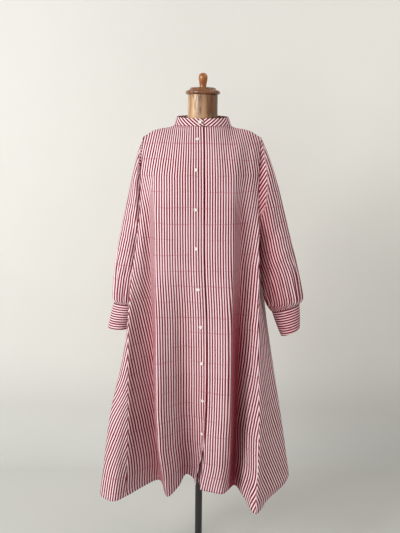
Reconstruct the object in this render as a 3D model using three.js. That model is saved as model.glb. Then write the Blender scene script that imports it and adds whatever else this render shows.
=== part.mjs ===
// A loose shirt dress with a band collar, long sleeves and deep cuffs, hanging on a limbless dress form.
// Millimetres. X runs to the viewer's right, Y away from the viewer and Z up. The origin is the middle
// of the base plate's underside, on the axis of the pole. "Right" and "left" are the wearer's own, so
// the right front is on the viewer's left, at negative X.

import * as THREE from "three";

const { lerp, clamp, smoothstep, degToRad } = THREE.MathUtils;

// Cloth
const WALL = 1.6; // doubled seam allowances and cloth, as one wall
const SEAM_GAP = 0.3; // between two pieces that are sewn together
const LAP_INSET = 2.8; // how far the left front lies behind the right one
const LAP_FOLDS = 1; // rows of the fold table by which the left front reaches in under the right one

// Heights of the sections through the body
const CHEST_Z = 1290;
const ARM_Z = 1060;
const WAIST_Z = 870;
const KNEE_Z = 520;

// Neckline, an oval in plan
const NECK_HALF_WIDTH = 89;
const NECK_HALF_DEPTH = 60;
const NECK_CENTRE_Y = -2;
const NECK_FRONT_Z = 1484;
const NECK_RISE = 8; // from centre front to centre back
const YOKE_ANGLE = degToRad(70.5); // where the yoke seam meets the neckline, from centre front

// Shoulder line, seen from the front
const RIDGE_Z = 1488;
const RIDGE_FALL = 0.19;
const RIDGE_ROUND_FROM = 150;
const RIDGE_ROUND = 0.0168;
const SHOULDER_SEAM_DROP = 4; // the yoke seam lies this far under the shoulder line

// Yoke at the centre back
const YOKE_BACK_Y = 97;
const YOKE_BACK_Z = 1404;

// Collar band
const COLLAR_LEAN = 8.5; // how far the top edge stands inside the bottom edge
const COLLAR_DEPTH_LEAN = 0.62; // share of that lean at the front and back
const COLLAR_FRONT_HEIGHT = 23;
const COLLAR_BACK_HEIGHT = 28;
const COLLAR_END_ANGLE = degToRad(2);
const COLLAR_LAP_ANGLE = degToRad(14);
const COLLAR_SINK_ANGLES = [degToRad(22), degToRad(5)]; // before centre front, where the lap sinks in
const COLLAR_CORNER_DROP = 4; // the rounded top corners of its ends
const COLLAR_CORNER_WIDTH = 9;

// Buttons
const BUTTON_RADIUS = 5.2;
const BUTTON_THICKNESS = 2.6;
const BUTTON_LIFT = 0.3;
const FIRST_BUTTON_Z = 1450;
const SECOND_BUTTON_Z = 1357;
const BUTTON_PITCH = 120.5;
const PITCHED_BUTTONS = 8;

// Gathers of each sleeve into its cuff
const GATHERS = 15;
const GATHER_DEPTH = 3.2;
const GATHER_SHARES = [0.55, 0.95, 0.975, 1]; // of the sleeve's length: where they start, are full, fade and end
const GATHER_SCALE = 0.6;
const WAVE = { count: 7, phase: 1.3, depth: 0.5 }; // a broader wave that makes them uneven

// Dress form
const NECK_RADIUS = 47;
const NECK_TOP_Z = 1581;
const POLE_RADIUS = 12;
const BASE_RADIUS = 168;
const BASE_THICKNESS = 12;
const TORSO_BOTTOM_Z = 792;
const REST_GAP = 0.3;

// Turns rows of bare values into objects whose keys are the column names.
const table = (columns, rows) =>
  rows.map((values) => Object.fromEntries(values.map((value, i) => [columns[i], value])));

// The body's folds, one row each, in order round the dress from the right front's edge. "edge" is
// where the row starts on the top edge of the cloth: 0 centre front, 1 and 9 the yoke seam at the
// neck, 2 and 8 the shoulder tips, 3 and 7 the underarms, 4 and 6 the ends of the back yoke seam,
// 5 the centre back. The other columns are X and Y where the fold crosses each height, and X, Y, Z
// at the hem. Rows that start below the chest have no chest point.
const FOLDS = table(
  ["name", "edge", "chest", "arm", "waist", "knee", "hem"],
  [
    ["lap_edge", -0.03, [7, -128], [10, -132], [19, -133], [17, -118], [-6, -58, 320]],
    ["button_line", 0.12, [-20, -129], [-13, -133], [0, -131], [9, -94], [-18, -30, 329]],
    ["centre_dip", 0.42, [-55, -129], [-52, -127], [-48, -116], [-46, -74], [-42, -10, 334]],
    ["centre_flank", 1, [-98, -124], [-97, -128], [-96, -131], [-93, -122], [-66, -64, 316]],
    ["right_crest", 1.45, [-141, -107], [-139, -122], [-137, -141], [-130, -152], [-101, -114, 303]],
    ["right_dip", 1.72, [-163, -84], [-159, -78], [-154, -63], [-148, -41], [-134, -14, 315]],
    ["right_flank", 1.88, [-180, -72], [-191, -88], [-203, -86], [-202, -84], [-190, -58, 307]],
    ["right_seam", 3, null, [-212, -84], [-226, -100], [-227, -120], [-236, -108, 300]],
    ["right_roll", 3.14, null, [-209, -68], [-231, -84], [-263, -126], [-271, -138, 297]],
    ["right_corner", 3.3, null, [-199, -48], [-228, -56], [-294, -84], [-314, -108, 298]],
    ["right_side", 3.5, null, [-191, -16], [-218, -22], [-284, -14], [-325, -48, 302]],
    ["right_turn", 3.7, null, [-186, 26], [-202, 22], [-258, 36], [-300, 26, 305]],
    ["back_crest_1", 4, [-180, 80], [-190, 78], [-220, 80], [-252, 90], [-280, 96, 303]],
    ["back_dip_1", 4.2, [-142, 99], [-150, 92], [-165, 87], [-188, 84], [-216, 82, 309]],
    ["back_crest_2", 4.42, [-98, 118], [-106, 123], [-115, 131], [-130, 146], [-146, 162, 300]],
    ["back_dip_2", 4.7, [-50, 124], [-53, 118], [-56, 113], [-62, 107], [-70, 102, 310]],
    ["back_crest_3", 5, [2, 127], [5, 129], [9, 135], [16, 146], [22, 157, 301]],
    ["back_dip_3", 5.32, [54, 123], [60, 117], [68, 112], [80, 107], [96, 103, 311]],
    ["back_crest_4", 5.62, [104, 116], [112, 121], [124, 128], [146, 142], [172, 158, 300]],
    ["back_dip_4", 5.84, [142, 99], [150, 94], [166, 89], [194, 92], [226, 100, 309]],
    ["left_turn", 6, [180, 80], [190, 76], [209, 62], [252, 76], [284, 102, 316]],
    ["left_side", 6.38, null, [180, 16], [213, 8], [275, 28], [307, 46, 322]],
    ["left_corner", 6.66, null, [173, -36], [205, -44], [252, -30], [288, -26, 314]],
    ["left_roll", 6.86, null, [177, -74], [192, -86], [216, -104], [222, -126, 302]],
    ["left_seam", 7, null, [179, -97], [180, -120], [186, -168], [178, -207, 293]],
    ["left_flank", 8.12, [152, -80], [156, -84], [154, -90], [157, -108], [147, -108, 299]],
    ["left_dip", 8.3, [126, -92], [124, -82], [124, -72], [123, -42], [121, -24, 303]],
    ["left_crest", 8.6, [98, -119], [96, -129], [91, -137], [94, -134], [95, -88, 316]],
    ["left_panel", 9, [73, -126], [72, -132], [70, -139], [71, -140], [75, -120, 317]],
    ["centre_panel", 9.5, [44, -129], [46, -133], [48, -137], [48, -133], [41, -113, 319]],
    ["left_front_edge", 9.85, [22, -129], [26, -133], [34, -135], [31, -124], [8, -98, 320]],
  ],
);
const EDGE_LOOP = 10;

// Each armhole is a closed loop, forward and down from the shoulder seam, under the arm and up the back.
const ARMHOLE_COLUMNS = ["name", "x", "y", "z"];
const ARMHOLE_RIGHT = table(ARMHOLE_COLUMNS, [
  ["shoulder_seam", -183, -12, 1450],
  ["front_upper", -189, -42, 1378],
  ["front_middle", -191, -56, 1295],
  ["front_lower", -193, -64, 1215],
  ["underarm", -199, -66, 1142],
  ["under_back", -188, -32, 1144],
  ["back_lower", -182, 12, 1184],
  ["back_middle", -186, 44, 1260],
  ["back_upper", -189, 54, 1340],
  ["yoke_end", -187, 43, 1408],
  ["yoke_top", -184, 15, 1446],
]);
const ARMHOLE_LEFT = table(ARMHOLE_COLUMNS, [
  ["shoulder_seam", 182, -12, 1450],
  ["front_upper", 178, -42, 1378],
  ["front_middle", 176, -58, 1295],
  ["front_lower", 176, -72, 1215],
  ["underarm", 179, -82, 1142],
  ["under_back", 175, -40, 1144],
  ["back_lower", 177, 12, 1184],
  ["back_middle", 184, 44, 1260],
  ["back_upper", 188, 54, 1340],
  ["yoke_end", 187, 43, 1408],
  ["yoke_top", 184, 15, 1446],
]);
const UNDERARM_INDEX = 4;
const YOKE_END_INDEX = 9;

// Sections of each sleeve. "outer" and "inner" are the X and Z of the ring's far and near sides,
// "middleY" and "depth" place its front and back.
const SLEEVE_COLUMNS = ["share", "outerX", "outerZ", "innerX", "innerZ", "middleY", "depth"];
const SLEEVE_RIGHT = table(SLEEVE_COLUMNS, [
  [0.12, -205, 1392, -202, 1118, -12, 58],
  [0.3, -229, 1290, -202, 1078, 0, 51],
  [0.5, -253, 1180, -201, 1030, 5, 47],
  [0.7, -274, 1070, -198, 985, 9, 47],
  [0.87, -283, 975, -203, 945, 14, 48],
  [0.96, -285, 930, -211, 922, 19, 42],
  [1, -284, 915, -212, 910, 22, 36],
]);
const SLEEVE_LEFT = table(SLEEVE_COLUMNS, [
  [0.12, 210, 1392, 183, 1120, -14, 60],
  [0.3, 243, 1290, 187, 1080, -14, 52],
  [0.5, 272, 1180, 190, 1034, -18, 48],
  [0.7, 300, 1070, 193, 990, -24, 48],
  [0.87, 321, 975, 203, 945, -25, 48],
  [0.96, 325, 940, 217, 917, -26, 42],
  [1, 317, 926, 229, 900, -26, 34],
]);

// Top and bottom rings of each cuff
const CUFF_COLUMNS = ["name", "outerX", "outerZ", "innerX", "innerZ", "middleY", "depth"];
const CUFF_RIGHT = table(CUFF_COLUMNS, [
  ["top", -284, 915, -212, 910, 22, 36],
  ["bottom", -303, 833, -238, 829, 20, 38],
]);
const CUFF_LEFT = table(CUFF_COLUMNS, [
  ["top", 317, 926, 229, 900, -26, 34],
  ["bottom", 320, 850, 260, 822, -26, 38],
]);

// Level sections of the form's torso. "power" shapes the oval: 2 is an ellipse, less is leaner.
const TORSO = table(
  ["z", "halfWidth", "front", "back", "power"],
  [
    [1483.6, 47.5, 47.5, 47.5, 2],
    [1481.6, 84, 49, 49, 1.15],
    [1477.1, 106.5, 50, 50, 1.15],
    [1470.6, 133.5, 52, 52, 1.2],
    [1462.4, 153.5, 55, 57, 1.35],
    [1446.8, 168, 60, 63, 1.6],
    [1422, 172, 70, 73, 1.8],
    [1380, 172, 86, 88, 1.9],
    [1330, 164, 101, 98, 2],
    [1280, 154, 113, 103, 2],
    [1225, 146, 112, 99, 2],
    [1150, 130, 97, 88, 2],
    [1080, 118, 86, 80, 2],
    [1000, 128, 92, 90, 2],
    [920, 142, 98, 100, 2],
    [860, 147, 99, 104, 2],
    [812, 143, 95, 100, 2],
    [TORSO_BOTTOM_Z, 130, 84, 90, 2],
  ],
);

const steps = (from, to, count) =>
  Array.from({ length: count + 1 }, (_, i) => lerp(from, to, i / count));

// Smooth curve through points, closed or open.
const curveThrough = (points, closed = false) =>
  new THREE.CatmullRomCurve3(points, closed, "centripetal");

// The height of the shoulder line at a distance from the axis.
function ridgeZ(x) {
  const past = Math.max(0, Math.abs(x) - RIDGE_ROUND_FROM);
  return RIDGE_Z - RIDGE_FALL * (Math.abs(x) - NECK_HALF_WIDTH) - RIDGE_ROUND * past ** 2;
}

// A point of the neckline, by its angle from centre front towards the wearer's right.
function necklineAt(angle) {
  return new THREE.Vector3(
    -NECK_HALF_WIDTH * Math.sin(angle),
    NECK_CENTRE_Y - NECK_HALF_DEPTH * Math.cos(angle),
    NECK_FRONT_Z + (NECK_RISE * (1 - Math.cos(angle))) / 2,
  );
}

const armholeCurves = new Map(
  [
    [-1, ARMHOLE_RIGHT],
    [1, ARMHOLE_LEFT],
  ].map(([side, rows]) => [side, curveThrough(rows.map((r) => new THREE.Vector3(r.x, r.y, r.z)), true)]),
);

// A point of an armhole, counted in rows of its table from the shoulder seam.
function armholeAt(side, count) {
  const rows = ARMHOLE_RIGHT.length;
  return armholeCurves.get(side).getPoint(((count + rows) % rows) / rows);
}

// The seam between a front and the yoke: share 0 at the neckline, 1 at the armhole.
function shoulderSeamAt(side, share) {
  const neck = necklineAt(-side * YOKE_ANGLE);
  const tip = armholeAt(side, 0);
  const point = neck.clone().lerp(tip, share);
  const level = lerp(neck.z, tip.z, share);
  const arched = ridgeZ(point.x) - SHOULDER_SEAM_DROP;
  point.z = lerp(level, arched, Math.sin(Math.PI * share));
  return point;
}

// The back yoke seam: share 0 at the armhole, 1 at the centre back.
function yokeSeamAt(side, share) {
  const end = armholeAt(side, YOKE_END_INDEX);
  return new THREE.Vector3(
    end.x * (1 - share),
    lerp(YOKE_BACK_Y, end.y, (1 - share) ** 2.2),
    lerp(YOKE_BACK_Z, end.z, 1 - share),
  );
}

// A point of the body's whole top edge, counted as the fold table counts it.
function topEdgeAt(edge) {
  const e = ((edge % EDGE_LOOP) + EDGE_LOOP) % EDGE_LOOP;
  const mirrored = e > EDGE_LOOP / 2;
  const side = mirrored ? 1 : -1;
  const a = mirrored ? EDGE_LOOP - e : e;
  if (a <= 1) return necklineAt(-side * YOKE_ANGLE * a);
  if (a <= 2) return shoulderSeamAt(side, a - 1);
  if (a <= 3) return armholeAt(side, (a - 2) * UNDERARM_INDEX);
  if (a <= 4) return armholeAt(side, lerp(UNDERARM_INDEX, YOKE_END_INDEX, a - 3));
  return yokeSeamAt(side, a - 4);
}

// A line down the cloth, held as close points so that it can be read by share of length or by height.
class ClothLine {
  constructor(points) {
    this.points = points;
    this.lengths = [0];
    points.slice(1).forEach((p, i) => this.lengths.push(this.lengths[i] + p.distanceTo(points[i])));
  }

  between(low, share) {
    return this.points[low].clone().lerp(this.points[low + 1], share);
  }

  at(share) {
    const target = clamp(share, 0, 1) * this.lengths.at(-1);
    const found = this.lengths.findIndex((length) => length > target);
    const low = found < 0 ? this.points.length - 2 : Math.max(0, found - 1);
    const span = this.lengths[low + 1] - this.lengths[low];
    return this.between(low, (target - this.lengths[low]) / span);
  }

  atHeight(z) {
    const found = this.points.findIndex((p) => p.z < z);
    const low = found < 0 ? this.points.length - 2 : Math.max(0, found - 1);
    const top = this.points[low].z;
    return this.between(low, clamp((z - top) / (this.points[low + 1].z - top), 0, 1));
  }
}

const LINE_STEPS = 160;
const ARMHOLE_STEPS = 60;

// The line of one fold from the top edge down to the hem.
function foldPoints(fold) {
  const top = topEdgeAt(fold.edge);
  const points = [top];
  if (fold.chest) {
    const [x, y] = fold.chest;
    points.push(
      new THREE.Vector3(lerp(top.x, x, 0.5), lerp(top.y, y, 0.7), lerp(top.z, CHEST_Z, 0.33)),
      new THREE.Vector3(x, y, CHEST_Z),
    );
  }
  points.push(new THREE.Vector3(...fold.arm, Math.min(ARM_Z, top.z - 70)));
  points.push(new THREE.Vector3(...fold.waist, WAIST_Z));
  points.push(new THREE.Vector3(...fold.knee, KNEE_Z));
  points.push(new THREE.Vector3(...fold.hem));
  return curveThrough(points).getSpacedPoints(LINE_STEPS);
}

const foldIndex = (name) => FOLDS.findIndex((fold) => fold.name === name);
const foldLines = FOLDS.map((fold) => new ClothLine(foldPoints(fold)));

// Where a front meets the armhole and then the back: down the armhole first, then down the side seam.
function frontSideLine(side, seam) {
  const armhole = steps(0, UNDERARM_INDEX, ARMHOLE_STEPS).map((count) => armholeAt(side, count));
  return new ClothLine([...armhole, ...foldLines[seam].points.slice(1)]);
}

// A surface through fold lines. "u" counts the lines and "v" runs from the top edge to the hem. The
// lines beyond each end, which belong to the next panel, set how the surface leaves its own ends.
const TOP_FIT = 0.22; // share of the length over which the surface eases onto its exact top edge
function clothSurface({ lines, edges, before, after }) {
  const rings = new Map();
  const ringAt = (v) => {
    if (!rings.has(v)) {
      const own = lines.map((line) => line.at(v));
      rings.set(v, curveThrough([before(own[0], v), ...own, after(own.at(-1), v)]));
    }
    return rings.get(v);
  };
  const last = lines.length - 1;
  const turn = (u) => (clamp(u, -0.9, last + 0.9) + 1) / (lines.length + 1);
  return (u, v) => {
    const point = ringAt(v).getPoint(turn(u));
    if (v < TOP_FIT && u >= 0 && u <= last) {
      const row = Math.min(Math.floor(u), last - 1);
      const exact = topEdgeAt(lerp(edges[row], edges[row + 1], u - row));
      point.addScaledVector(exact.sub(ringAt(0).getPoint(turn(u))), (1 - v / TOP_FIT) ** 2);
    }
    return point;
  };
}

const byHeight = (name, away) => {
  const line = foldLines[foldIndex(name)];
  const top = line.points[0].z;
  return (end) => {
    const sewn = line.atHeight(end.z);
    const free = end.clone().add(away);
    return free.lerp(sewn, smoothstep(top - end.z, 0, 60));
  };
};
const byShare = (name) => {
  const line = foldLines[foldIndex(name)];
  return (end, v) => line.at(v);
};

// The unit normal of a surface, from the directions in which its two parameters grow.
function normalOf(surface, u, v, stepU, stepV) {
  const v0 = Math.max(0, v - stepV);
  const v1 = Math.min(1, v + stepV);
  const along = surface(u + stepU, v).sub(surface(u - stepU, v));
  const down = surface(u, v1).sub(surface(u, v0));
  return along.cross(down).normalize();
}
const clothNormal = (surface) => (u, v) => normalOf(surface, u, v, 0.04, 0.004);

const RIGHT_SEAM = foldIndex("right_seam");
const LEFT_SEAM = foldIndex("left_seam");
const rightSideLine = frontSideLine(-1, RIGHT_SEAM);
const leftSideLine = frontSideLine(1, LEFT_SEAM);
const edgesOf = (rows) => rows.map((fold) => fold.edge);
const RIGHT_EDGES = [...edgesOf(FOLDS.slice(0, RIGHT_SEAM)), 2];
const BACK_EDGES = edgesOf(FOLDS.slice(RIGHT_SEAM, LEFT_SEAM + 1));
const LAP_EDGES = edgesOf(FOLDS.slice(0, 2)).map((edge) => EDGE_LOOP + edge);
const LEFT_EDGES = [8, ...edgesOf(FOLDS.slice(LEFT_SEAM + 1)), ...LAP_EDGES];

const rightFrontAt = clothSurface({
  lines: [...foldLines.slice(0, RIGHT_SEAM), rightSideLine],
  edges: RIGHT_EDGES,
  before: byShare("left_front_edge"),
  after: byHeight("right_roll", new THREE.Vector3(-14, 18, 0)),
});
const backAt = clothSurface({
  lines: foldLines.slice(RIGHT_SEAM, LEFT_SEAM + 1),
  edges: BACK_EDGES,
  before: byHeight("right_flank", new THREE.Vector3(10, -14, 0)),
  after: byHeight("left_flank", new THREE.Vector3(-16, -10, 0)),
});

// The left front's lines run on under the right front, to its button line.
const leftLines = foldLines.slice(LEFT_SEAM + 1);
const leftEdgeRow = leftLines.length + 1;
const leftBaseAt = clothSurface({
  lines: [leftSideLine, ...leftLines, foldLines[0], foldLines[1]],
  edges: LEFT_EDGES,
  before: byHeight("left_roll", new THREE.Vector3(14, 18, 0)),
  after: byShare("centre_dip"),
});
const rightFrontNormal = clothNormal(rightFrontAt);
const backNormal = clothNormal(backAt);
const leftBaseNormal = clothNormal(leftBaseAt);

// The left front sinks behind the right one before it reaches its edge, and stays behind it.
function leftFrontAt(u, v) {
  const sink = smoothstep(u, leftEdgeRow - 0.75, leftEdgeRow - 0.12);
  return leftBaseAt(u, v).addScaledVector(leftBaseNormal(u, v), -LAP_INSET * sink);
}

// The yoke, from the shoulder seams and back neckline (w = 0) to the back yoke seam (w = 1). "s" runs
// from -1 at the right armhole over 0 at the centre back to 1 at the left armhole.
const YOKE_NECK_SHARE = 0.5;
const YOKE_SPREAD = 15; // how far the yoke swings out beside the neck
const YOKE_ARCH_BACK = 0.1; // rise over the straight line, as a share of the drop
const YOKE_ARCH_FRONT = 0.24;
const YOKE_UPPER = { share: 0.35, spread: 1, back: 0.25, rise: 1 };
const YOKE_LOWER = { share: 0.7, spread: 0.5, back: 0.35, rise: 0.62 };
const YOKE_LOOP_FROM = 0.8; // from here out it turns to follow the armhole
function yokeAt(s, w) {
  const side = s < 0 ? -1 : 1;
  const reach = clamp(Math.abs(s), 0, 1);
  const top =
    reach < YOKE_NECK_SHARE
      ? necklineAt(-side * lerp(Math.PI, YOKE_ANGLE, reach / YOKE_NECK_SHARE))
      : shoulderSeamAt(side, (reach - YOKE_NECK_SHARE) / (1 - YOKE_NECK_SHARE));
  const bottom = yokeSeamAt(side, 1 - reach);
  const forward = clamp((NECK_HALF_DEPTH - top.y) / (NECK_HALF_DEPTH + 20), 0, 1);
  const arch = (top.z - bottom.z) * lerp(YOKE_ARCH_BACK, YOKE_ARCH_FRONT, forward);
  const besideNeck = 1 - smoothstep(Math.abs(reach - YOKE_NECK_SHARE), 0, 0.4);
  const spread = side * YOKE_SPREAD * besideNeck;
  const [over, down] = [YOKE_UPPER, YOKE_LOWER].map((row) => {
    const swing = new THREE.Vector3(row.spread * spread, row.back * arch, row.rise * arch);
    return top.clone().lerp(bottom, row.share).add(swing);
  });
  const point = curveThrough([top, over, down, bottom]).getPoint(w);
  // The last of the yoke follows the armhole loop exactly.
  const end = smoothstep(reach, YOKE_LOOP_FROM, 1);
  const loop = armholeAt(side, lerp(ARMHOLE_RIGHT.length, YOKE_END_INDEX, w));
  return point.lerp(loop, end);
}
const yokeNormal = (s, w) => {
  const inner = clamp(s, -0.985, 0.985);
  return normalOf(yokeAt, inner, w, 0.012, 0.02);
};

// A panel's grid of points with its inner face, as one closed body.
function closedWall(outer, inner, ring = false) {
  const columns = outer.length;
  const rows = outer[0].length;
  const positions = [];
  for (const grid of [outer, inner]) {
    for (const column of grid) for (const p of column) positions.push(p.x, p.y, p.z);
  }
  const at = (layer, i, j) => layer * columns * rows + (i % columns) * rows + j;
  const index = [];
  const quad = (a, b, c, d) => index.push(a, b, c, a, c, d);
  const lastColumn = ring ? columns : columns - 1;
  for (let i = 0; i < lastColumn; i += 1) {
    for (let j = 0; j < rows - 1; j += 1) {
      quad(at(0, i, j), at(0, i + 1, j), at(0, i + 1, j + 1), at(0, i, j + 1));
      quad(at(1, i, j), at(1, i, j + 1), at(1, i + 1, j + 1), at(1, i + 1, j));
    }
    const last = rows - 1;
    quad(at(0, i, 0), at(1, i, 0), at(1, i + 1, 0), at(0, i + 1, 0));
    quad(at(0, i, last), at(0, i + 1, last), at(1, i + 1, last), at(1, i, last));
  }
  if (!ring) {
    for (let j = 0; j < rows - 1; j += 1) {
      quad(at(0, 0, j), at(0, 0, j + 1), at(1, 0, j + 1), at(1, 0, j));
      const end = columns - 1;
      quad(at(0, end, j), at(1, end, j), at(1, end, j + 1), at(0, end, j + 1));
    }
  }
  const geometry = new THREE.BufferGeometry();
  geometry.setAttribute("position", new THREE.Float32BufferAttribute(positions, 3));
  geometry.setIndex(index);
  geometry.computeVertexNormals();
  return geometry;
}

// A wall over a surface. "us" and "vs" are the parameters of its columns and rows.
function wallOver(pointAt, normalAt, us, vs, thickness = WALL, ring = false) {
  const outer = us.map((u) => vs.map((v) => pointAt(u, v)));
  const inner = us.map((u, i) =>
    vs.map((v, j) => outer[i][j].clone().addScaledVector(normalAt(u, v), -thickness)),
  );
  return closedWall(outer, inner, ring);
}

const cloth = new THREE.MeshStandardMaterial({ color: 0xd98a94, roughness: 0.92, metalness: 0 });
const buttonResin = new THREE.MeshStandardMaterial({ color: 0xf3ebda, roughness: 0.35, metalness: 0 });
const linen = new THREE.MeshStandardMaterial({ color: 0x9c7b54, roughness: 0.8, metalness: 0 });
const wood = new THREE.MeshStandardMaterial({ color: 0xa2603a, roughness: 0.4, metalness: 0 });
const knobWood = new THREE.MeshStandardMaterial({ color: 0xb8702f, roughness: 0.35, metalness: 0 });
const blackSteel = new THREE.MeshStandardMaterial({ color: 0x17181a, roughness: 0.45, metalness: 0.6 });

const dress = new THREE.Group();

function addPiece(parent, name, geometry, material) {
  const mesh = new THREE.Mesh(geometry, material.clone());
  mesh.name = name;
  parent.add(mesh);
  return mesh;
}

// Body panels
const COLUMNS_PER_FOLD = 3;
const BODY_ROWS = [0, 0.015, 0.04, 0.075, 0.12, 0.18, 0.25, 0.34, 0.45, 0.58, 0.72, 0.86, 1];
const TOP_PULL = 0.0005; // share of the length by which the top edge stays clear of what is sewn to it
const bodyRows = BODY_ROWS.map((v) => Math.max(v, TOP_PULL));

// Moves a panel's first and last columns in by half the seam gap.
function trimmed(surface, from, to) {
  return (u, v) => {
    const direction = u === from ? 1 : u === to ? -1 : 0;
    if (direction === 0) return surface(u, v);
    const width = surface(u, v).distanceTo(surface(u + direction * 0.1, v)) * 10;
    return surface(u + (direction * SEAM_GAP) / width, v);
  };
}

// The normal at a side seam, the same for both panels that meet there.
function seamNormal(side, point) {
  const [front, back] = side < 0 ? ["right_flank", "right_roll"] : ["left_flank", "left_roll"];
  const seam = foldLines[side < 0 ? RIGHT_SEAM : LEFT_SEAM];
  const across = foldLines[foldIndex(back)].atHeight(point.z);
  across.sub(foldLines[foldIndex(front)].atHeight(point.z)).multiplyScalar(-side);
  const down = seam.atHeight(point.z - 5).sub(seam.atHeight(point.z + 5));
  return across.cross(down).normalize();
}

// A panel's normals, shared with the neighbours that it is sewn to.
function sewnNormals({ surface, normal, edges, rightSide, leftSide }) {
  return (u, v) => {
    const own = normal(u, v);
    const side = u === rightSide ? -1 : u === leftSide ? 1 : 0;
    const point = surface(u, v);
    if (side !== 0 && point.z < foldLines[RIGHT_SEAM].points[0].z - 12) return seamNormal(side, point);
    if (v > TOP_PULL) return own;
    const row = clamp(Math.floor(u), 0, edges.length - 2);
    const edge = lerp(edges[row], edges[row + 1], u - row);
    const half = edge > EDGE_LOOP / 2 ? 1 : -1;
    const a = half > 0 ? EDGE_LOOP - edge : edge;
    if (a >= 1 && a <= 2) return own.add(yokeNormal(half * lerp(YOKE_NECK_SHARE, 1, a - 1), 0)).normalize();
    if (a >= 4) return own.add(yokeNormal(half * (5 - a), 1)).normalize();
    return own;
  };
}

function buildRightFront() {
  const edges = RIGHT_EDGES;
  const columns = steps(0, RIGHT_SEAM, RIGHT_SEAM * COLUMNS_PER_FOLD);
  const surface = trimmed(rightFrontAt, 0, RIGHT_SEAM);
  const normal = sewnNormals({ surface, normal: rightFrontNormal, edges, rightSide: RIGHT_SEAM });
  return wallOver(surface, normal, columns, bodyRows);
}

function buildBack() {
  const span = LEFT_SEAM - RIGHT_SEAM;
  const edges = BACK_EDGES;
  const columns = steps(0, span, span * COLUMNS_PER_FOLD);
  const surface = trimmed(backAt, 0, span);
  const normal = sewnNormals({ surface, normal: backNormal, edges, rightSide: 0, leftSide: span });
  return wallOver(surface, normal, columns, bodyRows);
}

function buildLeftFront() {
  const end = leftEdgeRow + LAP_FOLDS;
  const edges = LEFT_EDGES;
  const columns = steps(0, end, Math.round(end * COLUMNS_PER_FOLD));
  const surface = trimmed(leftFrontAt, 0, end);
  const normal = sewnNormals({ surface, normal: leftBaseNormal, edges, leftSide: 0 });
  return wallOver(surface, normal, columns, bodyRows);
}

// The normals of the panels along the edges that are sewn to the yoke.
function rowOfEdge(edges, edge) {
  const row = clamp(edges.findLastIndex((e) => e <= edge), 0, edges.length - 2);
  return row + (edge - edges[row]) / (edges[row + 1] - edges[row]);
}
function backEdgeNormal(edge) {
  return backNormal(rowOfEdge(BACK_EDGES, edge), TOP_PULL);
}
function frontEdgeNormal(side, share) {
  if (side < 0) {
    return rightFrontNormal(rowOfEdge(RIGHT_EDGES, share), TOP_PULL);
  }
  return leftBaseNormal(rowOfEdge(LEFT_EDGES, EDGE_LOOP - share), TOP_PULL);
}

// Yoke
const YOKE_END_SHARE = 0.98; // just short of the armholes
function buildYoke() {
  const columns = [
    ...steps(-YOKE_END_SHARE, -YOKE_NECK_SHARE, 6),
    ...steps(-YOKE_NECK_SHARE, YOKE_NECK_SHARE, 14).slice(1, -1),
    ...steps(YOKE_NECK_SHARE, YOKE_END_SHARE, 6),
  ];
  const rows = steps(0, 1, 6);
  const pull = 0.004;
  rows[0] = pull;
  rows[rows.length - 1] = 1 - pull;
  const lastRow = rows.length - 1;
  const normalAt = (s, w) => {
    const own = yokeNormal(s, w);
    const reach = Math.abs(s);
    if (w === rows[lastRow]) return own.add(backEdgeNormal(s < 0 ? 5 - reach : 5 + reach)).normalize();
    if (w === rows[0] && reach >= YOKE_NECK_SHARE) {
      const share = 1 + (reach - YOKE_NECK_SHARE) / (1 - YOKE_NECK_SHARE);
      return own.add(frontEdgeNormal(s < 0 ? -1 : 1, Math.min(share, 2))).normalize();
    }
    return own;
  };
  return wallOver(yokeAt, normalAt, columns, rows);
}

// Collar band, round the neckline from the right front's edge to the end that lies under it
function collarAt(angle, h) {
  const foot = necklineAt(angle);
  const backness = (1 - Math.cos(angle)) / 2;
  const height = lerp(COLLAR_FRONT_HEIGHT, COLLAR_BACK_HEIGHT, backness);
  const start = -COLLAR_END_ANGLE;
  const finish = 2 * Math.PI + COLLAR_LAP_ANGLE;
  const fromEnd = Math.min(angle - start, finish - angle) * NECK_HALF_WIDTH;
  const corner = COLLAR_CORNER_DROP * (1 - smoothstep(fromEnd, 0, COLLAR_CORNER_WIDTH));
  const lean = COLLAR_LEAN * h;
  const [sinkFrom, sinkTo] = COLLAR_SINK_ANGLES.map((before) => 2 * Math.PI - before);
  const sink = LAP_INSET * smoothstep(angle, sinkFrom, sinkTo);
  const inward = 1 - (lean + sink) / NECK_HALF_WIDTH;
  const inwardY = 1 - (COLLAR_DEPTH_LEAN * lean + sink) / NECK_HALF_DEPTH;
  return new THREE.Vector3(
    foot.x * inward,
    NECK_CENTRE_Y + (foot.y - NECK_CENTRE_Y) * inwardY,
    foot.z + SEAM_GAP + (height - corner) * h,
  );
}

function buildCollar() {
  const angles = steps(-COLLAR_END_ANGLE, 2 * Math.PI + COLLAR_LAP_ANGLE, 46);
  const normalAt = (angle, h) => normalOf(collarAt, angle, h, 0.03, 0.1).negate();
  const columns = angles.map((angle) => [0, 0.5, 1].map((h) => collarAt(angle, h)));
  const inner = angles.map((angle, i) =>
    [0, 0.5, 1].map((h, j) => columns[i][j].clone().addScaledVector(normalAt(angle, h), -WALL)),
  );
  for (const grid of [columns, inner]) grid.forEach((column) => column.reverse());
  return closedWall(columns, inner);
}

// Rings of sleeves and cuffs. The angle starts at the far side from the body and turns forward.
function ringPoint(row, side, angle) {
  const reach = (1 + Math.cos(angle)) / 2;
  return new THREE.Vector3(
    lerp(row.innerX, row.outerX, reach),
    row.middleY - row.depth * Math.sin(angle),
    lerp(row.innerZ, row.outerZ, reach),
  );
}

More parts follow.
